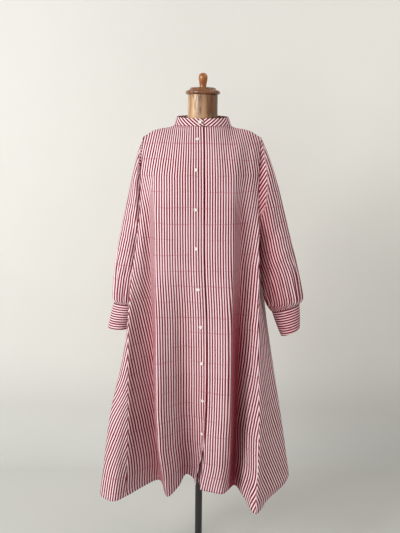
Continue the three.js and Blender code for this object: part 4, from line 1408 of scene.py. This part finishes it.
FRONT_CREASES = creases(
    (-150, 1440, -128, 1330, 9, -1.6), (-120, 1462, -104, 1350, 8, -1.3), (-88, 1466, -84, 1370, 7, 1.0),
    (-160, 1300, -120, 1140, 10, 1.6), (-128, 1210, -122, 1010, 9, -1.5), (-100, 1120, -96, 860, 11, 1.4),
    (-70, 980, -64, 700, 12, -1.8), (-32, 1180, -24, 920, 10, -1.2), (-186, 1130, -150, 930, 10, 1.8),
    (-205, 1010, -178, 760, 12, -2.0), (-120, 760, -112, 460, 12, 1.8), (-30, 640, -20, 380, 10, -1.6),
    (-60, 560, -52, 340, 11, 1.6), (60, 1455, 82, 1330, 8, -1.3), (110, 1450, 126, 1340, 8, 1.2),
    (150, 1425, 140, 1290, 9, -1.6), (40, 1240, 48, 980, 10, 1.2), (86, 1200, 92, 960, 9, -1.4),
    (52, 900, 58, 640, 11, -1.5), (96, 1010, 90, 700, 9, 1.5), (140, 1150, 150, 880, 9, 1.6),
    (152, 860, 166, 600, 10, -1.7), (40, 560, 30, 350, 10, 1.5), (80, 520, 76, 340, 9, -1.5),
    (76, 1180, 78, 320, 30, 5.5), (-46, 900, -44, 330, 26, -4.0),
)

BACK_CREASES = creases(
    (-120, 1380, -128, 1180, 10, -1.6), (-70, 1390, -74, 1210, 9, 1.3), (-20, 1390, -22, 1180, 9, -1.4),
    (34, 1388, 38, 1200, 9, 1.5), (84, 1385, 92, 1190, 10, -1.5), (138, 1370, 146, 1170, 10, 1.4),
    (-90, 1040, -98, 720, 12, 1.8), (-150, 980, -176, 640, 12, -1.9), (10, 1060, 14, 760, 12, -1.7),
    (76, 1000, 92, 680, 12, 1.9), (150, 960, 176, 640, 12, -1.8), (-240, 900, -272, 560, 13, -2.4),
    (-262, 700, -296, 380, 14, 2.4), (-232, 640, -246, 340, 11, -2.0), (214, 800, 244, 480, 12, -2.0),
    (236, 620, 280, 380, 13, 2.4), (196, 560, 206, 320, 11, -2.0), (-40, 620, -48, 340, 12, 1.8),
    (60, 600, 72, 340, 12, -1.8),
)


@dataclass(frozen=True)
class Panel:
    """How a panel of the body is held: its names, where its stripes start, and its cut in metres."""

    name: str
    node: str
    shift: float
    sewn: Mapping[str, float]
    creases: tuple[Crease, ...]
    flat: tuple[float, float]
    area: float
    fold: DeepFold | None = None


RIGHT_FRONT = Panel(
    "right_front_cloth", "front_right", 1.2, {"top": 14, "last": 14, "first": 6},
    FRONT_CREASES, (0.45, 1.22), 0.386, RIGHT_FOLD,
)
LEFT_FRONT = Panel(
    "left_front_cloth", "front_left", 3.0, {"top": 14, "first": 14, "last": 60},
    FRONT_CREASES, (0.46, 1.21), 0.333, LEFT_FOLD,
)
BACK = Panel(
    "back_cloth", "back", 2.0, {"top": 14, "first": 14, "last": 14}, BACK_CREASES, (1.39, 1.12), 0.968,
)


@dataclass
class Body:
    """The two fronts and the back."""

    pattern: Pattern
    material: bpy.types.Material
    rows: int = 280

    def build(self) -> Array:
        """Builds and dresses the three panels.

        Returns:
            The right front's surface, for the buttons.
        """
        t = np.linspace(0, 1, self.rows)
        shares = np.maximum(0.85 * t + 0.15 * t * t, 0.0005)
        surface = self._right_front(shares)
        self._left_front(shares)
        self._back(shares)
        return surface

    def _dress(self, panel: Panel, grid: Array, cut: Array) -> Array:
        """Builds one panel.

        Args:
            panel: how it is held.
            grid: its points.
            cut: distance across its stripes.

        Returns:
            Its surface.
        """
        edge, along = seam_values(grid, HEM_TURN)
        values = panel_values(grid, cut + panel.shift, edge, along)
        # Painted shade: the fronts' deep folds are darkened further
        if panel.fold:
            values["deep"] = panel.fold.shade(self.pattern, grid, values["deep"])
        piece, surface = ClothPiece(
            panel.name, grid, values, panel.sewn, creases=panel.creases, levels=PRESSED_LINES, ripple=0.22
        ).make()
        hold(piece, self.material, "body_cloth", panel.node)
        return surface

    def _right_front(self, shares: Array) -> Array:
        """The right front, whose edge laps over the left one."""
        u = np.linspace(SEAM_GAP, self.pattern.right_seam - SEAM_GAP, 112)
        grid = self.pattern.right_front(u, shares)
        lift = FLARE_LIFT * below_knee(grid[..., 2]) * np.exp(-((u / 0.7) ** 2))[:, None]
        grid = grid + grid_normals(grid) * lift[..., None]
        cut = section_lengths(grid, DOWN, 0) + edge_swing(grid[0], grid[..., 2])
        return self._dress(RIGHT_FRONT, grid, cut + RIGHT_FOLD.taken_up(self.pattern, grid))

    def _left_front(self, shares: Array) -> None:
        """The left front, which reaches in under the right one."""
        row = self.pattern.left_edge_row
        u = np.linspace(SEAM_GAP, row + 1.0, 118)
        grid = self.pattern.left_front(u, shares)
        start = int(np.argmin(np.abs(u - row)))
        cut = section_lengths(grid, DOWN, start) + edge_swing(grid[start], grid[..., 2])
        cut = cut - LEFT_FOLD.taken_up(self.pattern, grid)
        inward = FLARE_LIFT * below_knee(grid[..., 2]) * smooth_step(u, row - 0.9, row)[:, None]
        self._dress(LEFT_FRONT, grid - grid_normals(grid) * inward[..., None], cut)

    def _back(self, shares: Array) -> None:
        """The back, cut wider than the fronts."""
        first = self.pattern.right_seam
        u = np.linspace(SEAM_GAP, self.pattern.left_seam - first - SEAM_GAP, 170)
        grid = self.pattern.back(u, shares)
        start = int(np.argmin(np.abs(u - (self.pattern.names.index("back_crest_3") - first))))
        self._dress(BACK, grid, section_lengths(grid, DOWN, start))


@dataclass
class YokePiece:
    """The yoke over both shoulders."""

    pattern: Pattern
    material: bpy.types.Material

    def build(self) -> None:
        """Builds and dresses it."""
        grid = self.pattern.yoke(np.linspace(-0.985, 0.985, 120), np.linspace(SEAM_GAP, 1 - SEAM_GAP, 44))
        down = run_down(grid)
        up = down[:, -1:] - down
        values = panel_values(grid, up, np.minimum(down, up), run_across(grid))
        sewn = {"top": 10, "foot": 10, "first": 8, "last": 8}
        piece, _ = ClothPiece("yoke_cloth", grid, values, sewn, ripple=0.15).make()
        hold(piece, self.material, "yoke_cloth", "yoke")


@dataclass
class Collar:
    """The stand collar, cut on the bias and lapped at the centre front."""

    pattern: Pattern
    material: bpy.types.Material

    def _grid(self, angles: Array, shares: Array) -> Array:
        """The collar's outer face.

        Args:
            angles: columns, from centre front towards the wearer's right.
            shares: rows, from the top edge down to the seam.

        Returns:
            (columns, rows, 3) points.
        """
        foot = self.pattern.neckline(angles)
        back = (1 - np.cos(angles)) / 2
        height = between(COLLAR_FRONT_HEIGHT, COLLAR_BACK_HEIGHT, back)
        start, finish = -COLLAR_END_ANGLE, 2 * math.pi + COLLAR_LAP_ANGLE
        from_end = np.minimum(angles - start, finish - angles) * NECK_HALF_WIDTH
        corner = 4 * (1 - smooth_step(from_end, 0, 9))
        sink = LAP_INSET * smooth_step(angles, math.radians(338), math.radians(355))
        rows = []
        for share in shares:
            lean = COLLAR_LEAN * share
            wide = 1 - (lean + sink) / NECK_HALF_WIDTH
            deep = 1 - (0.62 * lean + sink) / NECK_HALF_DEPTH
            x = foot[:, 0] * wide
            y = NECK_CENTRE_Y + (foot[:, 1] - NECK_CENTRE_Y) * deep
            z = foot[:, 2] + 0.3 + (height - corner) * share
            rows.append(np.stack([x, y, z], axis=-1))
        return np.stack(rows, axis=1)

    def build(self) -> Array:
        """Builds and dresses it.

        Returns:
            Its surface, for the button.
        """
        angles = np.linspace(-COLLAR_END_ANGLE, 2 * math.pi + COLLAR_LAP_ANGLE, 230)
        grid = self._grid(angles, np.linspace(1, 0, 12))
        round_neck = run_across(grid)[:, -1:]
        zero = float(np.interp(0.0, angles, round_neck[:, 0]))
        full = float(np.interp(2 * math.pi, angles, round_neck[:, 0]))
        from_front = np.minimum(round_neck - zero, np.abs(full - round_neck))
        down = run_down(grid)
        height = down[:, -1:] - down
        cut = BIAS_ALONG * from_front - BIAS_UP * height + 2.0
        values = panel_values(grid, cut, np.minimum(height, down), round_neck)
        sewn = {"top": 4, "foot": 4, "first": 6, "last": 6}
        piece, surface = ClothPiece("collar_cloth", grid, values, sewn, COLLAR_CLOTH).make()
        hold(piece, self.material, "collar_cloth", "collar_band")
        return surface


@dataclass(frozen=True)
class SleeveCut:
    """A sleeve's own values.

    They are the flat size and area of sleeve and cuff in metres, how far painted shade, standing for the
    body's shadow, darkens and reddens its inner side (0 to 1), and how far its cap's stripes lean, between
    which heights.
    """

    flat: tuple[float, float]
    area: float
    cuff_flat: tuple[float, float]
    painted_body_shade: float
    lean: float
    low: float
    high: float
    creases: tuple[Crease, ...]


SLEEVE_CUTS: dict[Side, SleeveCut] = {
    Side.RIGHT: SleeveCut(
        (0.46, 0.56), 0.13, (0.228, 0.085), 0.0, math.radians(52), 1335, 1425,
        creases(
            (-206, 1400, -200, 1260, 8, -1.6), (-236, 1240, -206, 1180, 9, 1.8),
            (-250, 1150, -214, 1110, 9, -1.8), (-262, 1060, -220, 1030, 10, 1.6),
            (-240, 1120, -236, 960, 8, -1.8),
        ),
    ),
    Side.LEFT: SleeveCut(
        (0.48, 0.56), 0.155, (0.238, 0.083), 0.5, math.radians(30), 1160, 1480,
        creases(
            (204, 1400, 206, 1230, 9, -2.6), (236, 1300, 214, 1180, 9, 1.8),
            (250, 1190, 212, 1120, 10, -2.2), (276, 1110, 222, 1050, 10, 2.0),
            (240, 1080, 262, 960, 8, -2.2), (212, 1050, 232, 960, 8, 2.2),
        ),
    ),
}
CAP_CREASE = ((188, 1450), (203, 1345), (206, 1290), (198, 1240), (176, 1190))


def ring_point(ring: Ring, angle: float) -> Array:
    """A point of a ring; the angle starts at the far side and turns forward."""
    reach = (1 + math.cos(angle)) / 2
    x = between(ring.inner_x, ring.outer_x, reach)
    z = between(ring.inner_z, ring.outer_z, reach)
    return np.array([x, ring.middle_y - ring.depth * math.sin(angle), z])


def looks_inward(grid: Array) -> bool:
    """Whether a closed grid's normals point to its own middle."""
    out = grid - grid.mean(axis=0, keepdims=True)
    return float((out * grid_normals(grid, ring=True)).sum(axis=2).mean()) < 0


def tube_seams(grid: Array) -> tuple[Array, Array]:
    """Distance from the nearer end of a closed grid, and distance round it."""
    down = run_down(grid)
    return np.minimum(down, down[:, -1:] - down), run_across(np.concatenate([grid, grid[:1]]))[:-1]


@dataclass
class Sleeve:
    """A long full sleeve, gathered into its cuff."""

    side: Side
    pattern: Pattern
    material: bpy.types.Material
    gathers: int = 19
    gather_depth: float = 4.2
    columns: int = 150
    bands: int = 190

    def _start(self, angle: float) -> Array:
        """The armhole's point for a ring's angle."""
        rows = len(self.pattern.armholes[self.side])
        turn = angle / (2 * math.pi)
        under, shoulder = UNDERARM / rows, -0.5 / rows
        if turn < 0.5:
            share = between(shoulder, under, turn * 2)
        else:
            share = between(under, 1 + shoulder, (turn - 0.5) * 2)
        point = self.pattern.armhole(self.side, share * rows)[0]
        return point + np.array([self.side.value * 1.0, 0, 0])

    def grid(self) -> Array:
        """The sleeve's points, whose columns run from the armhole to the cuff.

        Returns:
            (columns, rows, 3) points.
        """
        angles = np.linspace(0, 2 * math.pi, self.columns, endpoint=False)
        t = np.linspace(0, 0.9985, self.bands)
        lines = []
        for angle in angles:
            points = [self._start(angle), *(ring_point(ring, angle) for ring in SLEEVES[self.side])]
            dense = through(np.array(points), np.linspace(0, len(points) - 1, 600))
            lines.append(ClothLine(dense).at(t))
        smooth = np.array(lines)
        axis = (smooth + np.roll(smooth, self.columns // 2, axis=0)) / 2
        out = smooth - axis
        out /= np.linalg.norm(out, axis=2, keepdims=True)
        gather = smooth_step(t, 0.52, 0.95) * (1 - smooth_step(t, 0.972, 1.0))
        ripple = np.cos(self.gathers * angles + 0.8 * np.sin(3 * angles))
        ripple += 0.55 * np.sin(7 * angles + 1.3) + 0.35 * np.cos(31 * angles + 2.0)
        folds = 2.6 * smooth_step(t, 0.05, 0.3) * np.sin(math.pi * np.clip(t, 0, 1))
        broad = np.cos(4 * angles + 0.9)[:, None] * (folds * (0.6 + 0.4 * np.sin(5 * t + 0.7)))[None]
        move = 0.55 * self.gather_depth * gather[None] * ripple[:, None] + broad
        return smooth + out * move[..., None]

    def build(self) -> None:
        """Builds and dresses it."""
        own = SLEEVE_CUTS[self.side]
        grid, start = self.grid(), 0
        if looks_inward(grid):
            grid, start = grid[::-1].copy(), self.columns - 1
        axis = grid[:, -1].mean(axis=0) - grid[:, 0].mean(axis=0)
        axis /= np.linalg.norm(axis)
        cut = self._cap_turn(grid, section_lengths(grid, axis, start, ring=True))
        # Painted shade in the sleeve's folds, and on its inner side beside the body as if in the body's
        # shadow
        values = panel_values(grid, cut + 1.0, *tube_seams(grid), reach=14, full=7, ring=True)
        outward = grid[..., 0] * self.side.value
        inner, outer = outward.min(axis=0), outward.max(axis=0)
        beside = 1 - smooth_step((outward - inner) / (outer - inner), 0.25, 0.8)
        values["deep"] = np.maximum(values["deep"], own.painted_body_shade * beside)
        piece, _ = ClothPiece(
            f"{self.side.word}_sleeve_cloth", grid, values, {"top": 10, "foot": 6},
            ring=True, creases=own.creases, ripple=0.25,
        ).make()
        hold(piece, self.material, "sleeve_cloth", f"sleeve_{self.side.word}")

    def _cap_turn(self, grid: Array, cut: Array) -> Array:
        """Turns the stripes at the crease down the cap, so that they meet in a chevron.

        Args:
            grid: the sleeve's points.
            cut: distance across the stripes.

        Returns:
            The distance with the cap's inner part turned.
        """
        own = SLEEVE_CUTS[self.side]
        x, y, z = grid[..., 0] * self.side.value, grid[..., 1], grid[..., 2]
        line = np.interp(-z, [-height for _, height in CAP_CREASE], [place for place, _ in CAP_CREASE])
        share = smooth_step(line - x, 0, 4) * smooth_step(-y, 0, 14)
        share = share * smooth_step(z, own.low, own.low + 30) * (1 - smooth_step(z, own.high, own.high + 20))
        leaning = x * math.cos(own.lean) - (z - 1300) * math.sin(own.lean)
        return between(cut, leaning, share)


@dataclass
class CuffBand:
    """A deep cuff, cut across the stripes."""

    side: Side
    material: bpy.types.Material

    def build(self) -> Array:
        """Builds and dresses it.

        Returns:
            Its surface, for the buttons.
        """
        own = SLEEVE_CUTS[self.side]
        angles = np.linspace(0, 2 * math.pi, 120, endpoint=False)
        rings = (SLEEVES[self.side][-1], CUFF_FEET[self.side])
        high, low = (np.array([ring_point(ring, a) for a in angles]) for ring in rings)
        shares = np.linspace(0.006, 1, 34)
        grid = np.stack([between(high, low, t) for t in shares], axis=1)
        bulge = 1.6 * np.sin(math.pi * shares)[None] * (0.5 + 0.5 * np.sin(2 * angles + 0.6))[:, None]
        if looks_inward(grid):
            grid, bulge = grid[::-1].copy(), bulge[::-1]
        grid = grid + grid_normals(grid, True) * bulge[..., None]
        # Painted shade in the cuff's folds, and all round the cuff beside the body
        values = panel_values(grid, run_down(grid) + 1.0, *tube_seams(grid), reach=12, full=12, ring=True)
        values["deep"] = np.maximum(values["deep"], own.painted_body_shade * 0.6)
        name, sewn = f"{self.side.word}_cuff_cloth", {"top": 5, "foot": 5}
        piece, surface = ClothPiece(name, grid, values, sewn, CUFF_CLOTH, ring=True, ripple=0.12).make()
        hold(piece, self.material, "cuff_cloth", f"cuff_{self.side.word}")
        return surface


def barrel_faces(rings: int, around: int, flip: bool = False) -> list[tuple[int, ...]]:
    """Faces round stacked rings of vertices, closed by a middle vertex at each end.

    Args:
        rings: how many rings.
        around: vertices in each.
        flip: whether the rings run downwards.

    Returns:
        The faces; the middle vertices come after the rings, the first ring's first.
    """
    faces: list[tuple[int, ...]] = []
    last = (rings - 1) * around
    for k in range(around):
        n = (k + 1) % around
        for a in range(0, last, around):
            faces.append((a + k, a + n, a + around + n, a + around + k))
        faces.append((last + around, n, k))
        faces.append((last + around + 1, last + k, last + n))
    return [face[::-1] for face in faces] if flip else faces


# A button's outline from the middle of its back to the middle of its face, in radii and heights
BUTTON_PROFILE = (
    (0.5, 0.0), (0.84, 0.0), (0.94, 0.12), (1.0, 0.34), (0.995, 0.6), (0.95, 0.86), (0.88, 0.99),
    (0.8, 1.0), (0.72, 0.9), (0.62, 0.76), (0.5, 0.7), (0.44, 0.69), (0.38, 0.69), (0.32, 0.69),
    (0.26, 0.69), (0.2, 0.69), (0.14, 0.69), (0.07, 0.69),
)
BUTTON_FACE = 0.69
BUTTON_LIFT = 0.45


@dataclass
class Buttons:
    """Round four-hole shirt buttons, sewn on with thread."""

    resin: bpy.types.Material
    thread: bpy.types.Material
    radius: float = 5.2
    height: float = 2.6
    hole_reach: float = 1.0125
    hole: float = 0.62
    hole_depth: float = 1.3
    around: int = 48

    def _disc(self, name: str) -> bpy.types.Object:
        """A turned button with a rim, a dished face and four holes, its back at Z 0."""
        vertices: list[tuple[float, float, float]] = []
        for share, rise in BUTTON_PROFILE:
            for k in range(self.around):
                angle = 2 * math.pi * k / self.around
                x, y = share * self.radius * math.cos(angle), share * self.radius * math.sin(angle)
                gap = math.hypot(abs(x) - self.hole_reach, abs(y) - self.hole_reach)
                sunk = self.hole_depth if rise > 0.65 and gap < self.hole else 0.0
                vertices.append((x * MM, y * MM, (rise * self.height - sunk) * MM))
        vertices += [(0.0, 0.0, 0.0), (0.0, 0.0, BUTTON_FACE * self.height * MM)]
        return add_mesh(name, vertices, barrel_faces(len(BUTTON_PROFILE), self.around))

    def _sewing(self, name: str, steps: int = 10, around: int = 10, thick: float = 0.36) -> bpy.types.Object:
        """Two short bundles of thread between the holes.

        Args:
            name: the piece's name.
            steps: steps along each bundle.
            around: vertices round it.
            thick: its radius in mm.

        Returns:
            The piece.
        """
        vertices: list[tuple[float, float, float]] = []
        faces: list[tuple[int, ...]] = []
        for x in (-self.hole_reach, self.hole_reach):
            base = len(vertices)
            for i in range(steps + 1):
                y = between(-self.hole_reach, self.hole_reach, i / steps)
                z = BUTTON_FACE * self.height - 0.55 + 0.95 * math.sin(math.pi * i / steps)
                for k in range(around):
                    a = 2 * math.pi * k / around
                    vertices.append(((x + thick * math.cos(a)) * MM, y * MM, (z + thick * math.sin(a)) * MM))
            for a in range(base, base + steps * around, around):
                for k in range(around):
                    n = (k + 1) % around
                    faces.append((a + n, a + k, a + around + k, a + around + n))
            faces.append(tuple(base + k for k in range(around)))
            faces.append(tuple(base + steps * around + k for k in reversed(range(around))))
        return add_mesh(name, vertices, faces)

    def build(self, node: str, seat: "ButtonSeat", spin: float) -> None:
        """Places one button on its cloth.

        Args:
            node: the solid's name, which the piece stands for.
            seat: where it sits.
            spin: how far it is turned, in radians.
        """
        turn = seat.outward.to_track_quat("Z", "Y").to_matrix().to_4x4() @ Matrix.Rotation(spin, 4, "Z")
        disc, sewing = self._disc(f"{node}_disc"), self._sewing(f"{node}_thread")
        for piece in (disc, sewing):
            piece.data.transform(Matrix.Translation(seat.point) @ turn)
        hold(disc, self.resin, "buttons", node)
        hold(sewing, self.thread, "buttons")


@dataclass(frozen=True)
class ButtonSeat:
    """Where a button sits on its cloth, and which way its face looks."""

    point: Vector
    outward: Vector

    @classmethod
    def on(cls, node: str, surface: Array, ring: bool) -> "ButtonSeat":
        """Finds the seat of one button.

        Args:
            node: the button's solid.
            surface: the points of its cloth, in mm.
            ring: whether the cloth's columns close.

        Returns:
            The seat, in metres.
        """
        low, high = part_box(node)
        middle = (np.array(low) + np.array(high)) / 2 / MM
        gap = np.linalg.norm(surface - middle, axis=2)
        nearest = np.unravel_index(np.argmin(gap), gap.shape)
        outward = grid_normals(surface, ring)[nearest]
        rise = float((middle - surface[nearest]) @ outward)
        return cls(Vector((middle - (rise - BUTTON_LIFT) * outward) * MM), Vector(outward).normalized())


# The form


@dataclass(frozen=True)
class Turning:
    """A turned piece on the pole's axis.

    Its profile has radius and rise, in mm, from the middle of its foot to the middle of its top.
    """

    name: str
    node: str
    slot: str
    foot: float
    around: int
    rounds: int
    profile: tuple[tuple[float, float], ...]

    def build(self, material: bpy.types.Material) -> None:
        """Builds and dresses it, with its corners eased.

        Args:
            material: its finish.
        """
        points = np.array(self.profile, float) + np.array([0.0, self.foot])
        fine = [points[0]]
        for a, b in zip(points[:-1], points[1:]):
            fine += [between(a, b, (k + 1) / self.rounds) for k in range(self.rounds)]
        fine = np.array(fine)
        for _ in range(2):
            fine[1:-1] = 0.25 * fine[:-2] + 0.5 * fine[1:-1] + 0.25 * fine[2:]
        angles = np.linspace(0, 2 * math.pi, self.around, endpoint=False)
        ring = [(math.cos(a) * MM, math.sin(a) * MM) for a in angles]
        vertices = [(r * x, r * y, z * MM) for r, z in fine[1:-1] for x, y in ring]
        vertices += [(0, 0, fine[0][1] * MM), (0, 0, fine[-1][1] * MM)]
        piece = add_mesh(self.name, vertices, barrel_faces(len(fine) - 2, self.around))
        hold(piece, material, self.slot, self.node)


TURNINGS: tuple[Turning, ...] = (
    Turning(
        "neck_board", "form_neck", "form_neck", 1483.9, 128, 8,
        ((0, 0), (46.4, 0), (47, 2), (46.7, 30), (46.2, 60), (46.3, 94.1), (45.5, 97.1), (0, 97.1)),
    ),
    Turning(
        "cap_turning", "form_neck_cap", "cap_wood", 1581.3, 128, 5,
        (
            (0, 0), (49, 0), (52, 1.2), (53.6, 3.4), (54, 6), (53.4, 8.8), (51, 11.2), (47.5, 12.6),
            (43.6, 13.3), (41, 15), (39.8, 17.5), (38.6, 20), (36.5, 21), (0, 21),
        ),
    ),
    Turning(
        "knob_turning", "form_knob", "knob_wood", 1602.6, 96, 6,
        (
            (0, 0), (11, 0), (10.6, 3), (10.8, 8), (12.2, 16), (13.8, 24), (14.2, 29), (13.8, 34), (12, 39),
            (8.6, 42.4), (4.4, 44.2), (0, 44.6),
        ),
    ),
    Turning(
        "pole_tube", "form_pole", "black_metal", 58.3, 72, 6,
        (
            (0, 0), (12, 0), (12, 241.7), (12, 481.7), (12, 722.7), (32, 724.7), (33.8, 727.7), (34, 731.7),
            (33, 733.3), (0, 733.4),
        ),
    ),
    Turning(
        "base_plate", "form_base", "black_metal", 0.0, 144, 6,
        (
            (0, 0), (150, 0), (166.5, 0.6), (168, 3), (167.6, 7), (164, 11), (150, 12.2), (60, 13.4),
            (30, 15.5), (23, 20), (19.6, 28), (18, 44), (17, 55), (15.6, 58), (0, 58),
        ),
    ),
)


@dataclass
class DressForm:
    """The limbless form: a covered torso, and the turned neck, cap, knob, pole and base by slot."""

    linen: bpy.types.Material
    turned: Mapping[str, bpy.types.Material]
    inset: float = 0.8
    sections: int = 120
    around: int = 96

    def build(self) -> None:
        """Builds and dresses the form's pieces."""
        self._torso()
        for turning in TURNINGS:
            turning.build(self.turned[turning.slot])

    def _torso(self) -> None:
        """The torso, smoothed through its solid's sections and a little inside them."""
        rows = np.array(TORSO, float)
        places = np.linspace(0, len(rows) - 1, self.sections)
        dense, more = (through(rows[:, columns], places) for columns in ([0, 1, 2], [0, 3, 4]))
        vertices: list[tuple[float, float, float]] = []
        for (z, wide, front), (_, back, power) in zip(dense, more):
            for angle in np.linspace(0, 2 * math.pi, self.around, endpoint=False):
                c, s = math.cos(angle), math.sin(angle)
                x = (wide - self.inset) * math.copysign(abs(c) ** (2 / power), c)
                y = ((front if s < 0 else back) - self.inset) * math.copysign(abs(s) ** (2 / power), s)
                vertices.append((x * MM, y * MM, (z - self.inset) * MM))
        vertices += [(0, 0, vertices[0][2]), (0, 0, vertices[-1][2])]
        piece = add_mesh("torso_cover", vertices, barrel_faces(self.sections, self.around, flip=True))
        hold(piece, self.linen, "form_cloth", "form_torso")


# The studio


@dataclass(frozen=True)
class SoftLight:
    """A square soft light: its place, what it looks at, its side in metres, its watts and its colour."""

    name: str
    place: tuple[float, float, float]
    target: tuple[float, float, float]
    size: float
    power: float
    colour: Colour

    def build(self) -> None:
        """Adds it to the scene."""
        light = bpy.data.lights.new(self.name, "AREA")
        light.size, light.energy, light.color = self.size, self.power, self.colour
        lamp = bpy.data.objects.new(self.name, light)
        lamp.location = self.place
        aim = Vector(self.target) - Vector(self.place)
        lamp.rotation_euler = aim.to_track_quat("-Z", "Y").to_euler()
        bpy.context.scene.collection.objects.link(lamp)


LIGHTS: tuple[SoftLight, ...] = (
    SoftLight("key", (-2.15, -1.9, 2.1), (0.0, 0.0, 0.95), 1.1, 69.0, (1.0, 0.99, 0.965)),
    SoftLight("wall_left", (-2.6, -0.2, 2.2), (-0.6, 0.98, 1.2), 1.0, 7.0, (1.0, 0.99, 0.97)),
    SoftLight("wall_right", (1.7, -0.7, 2.6), (1.1, 0.6, 0.1), 1.4, 18.0, (1.0, 0.965, 0.9)),
    SoftLight("fill", (-0.7, -2.9, 1.5), (0.1, 0.0, 0.8), 1.6, 15.0, (1.0, 0.985, 0.965)),
)


@dataclass
class Studio:
    """The pale floor and wall, the camera and the soft lights."""

    wall_y: float = 0.98
    cove: float = 0.22
    half_width: float = 4.5
    top: float = 4.0
    across: int = 9
    focal_share: float = 787.0 / 533.0
    sensor: float = 36.0
    eye: tuple[float, float, float] = (-0.0035, -2.5, 1.458)
    look_down: float = 9.5
    roll: float = 0.59
    sky: float = 0.29

    def build(self) -> None:
        """Builds the backdrop, the camera and the lights."""
        self._backdrop()
        self._camera()
        for light in LIGHTS:
            light.build()
        world = bpy.data.worlds.new("world")
        world.use_nodes = True
        back = world.node_tree.nodes["Background"]
        back.inputs[0].default_value = (1.0, 0.985, 0.96, 1.0)
        back.inputs[1].default_value = self.sky
        scene = bpy.context.scene
        scene.world = world
        scene.view_settings.view_transform = "Standard"
        scene.view_settings.look = "None"

    def _backdrop(self) -> None:
        """One sweep from the floor up the wall."""
        section = [(-4.5, 0.0), (-1.0, 0.0), (0.3, 0.0)]
        for k in range(13):
            a = math.pi / 2 * k / 12
            section.append((self.wall_y - self.cove * (1 - math.sin(a)), self.cove * (1 - math.cos(a))))
        section += [(self.wall_y, 2.0), (self.wall_y, self.top)]
        widths = np.linspace(-self.half_width, self.half_width, self.across)
        vertices = [(x, y, z) for y, z in section for x in widths]
        faces = []
        for r in range(len(section) - 1):
            for a in range(r * self.across, (r + 1) * self.across - 1):
                faces.append((a, a + 1, a + self.across + 1, a + self.across))
        sweep = add_mesh("backdrop", vertices, faces)
        sweep.data.materials.append(PaleWall().material())

    def _camera(self) -> None:
        """The camera at the photograph's place and angle."""
        camera = bpy.data.cameras.new("camera")
        camera.sensor_width = self.sensor
        camera.lens = self.focal_share * self.sensor
        camera.clip_end = 50.0
        view = bpy.data.objects.new("camera", camera)
        tilt = Matrix.Rotation(math.radians(90 - self.look_down), 4, "X")
        roll = Matrix.Rotation(math.radians(self.roll), 4, "Z")
        view.matrix_world = Matrix.Translation(self.eye) @ tilt @ roll
        bpy.context.scene.collection.objects.link(view)
        bpy.context.scene.camera = view


def main() -> None:
    """Builds the dress, the form and the studio in order."""
    logging.basicConfig(level=logging.INFO, format="%(name)s: %(message)s")
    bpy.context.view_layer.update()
    Studio().build()
    cotton = StripedCotton("striped_cotton").material()
    pattern = Pattern()
    linen = LinenCover().material()
    turned = {
        "form_neck": NeckBoard().material(),
        "cap_wood": TurnedWood("cap_varnish", (0.07, 0.022, 0.008), (0.32, 0.12, 0.035), 0.3).material(),
        "knob_wood": TurnedWood("knob_varnish", (0.17, 0.042, 0.007), (0.46, 0.16, 0.028), 0.22).material(),
        "black_metal": BlackPaint().material(),
    }
    DressForm(linen, turned).build()
    LOG.info("form built")
    YokePiece(pattern, cotton).build()
    surfaces = {"front_button": Body(pattern, cotton).build()}
    surfaces["collar_button"] = Collar(pattern, cotton).build()
    for side in Side:
        Sleeve(side, pattern, cotton).build()
        surfaces[f"cuff_button_{side.word}"] = CuffBand(side, cotton).build()
    buttons = Buttons(ButtonResin().material(), Thread().material())
    nodes = [name for name in sorted(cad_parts) if "button" in name]
    for count, node in enumerate(nodes):
        cloth = next(name for name in surfaces if node.startswith(name))
        seat = ButtonSeat.on(node, surfaces[cloth], cloth.startswith("cuff"))
        buttons.build(node, seat, 0.9 * count)
    LOG.info("buttons: %d", len(nodes))


if __name__ == "__main__":
    main()
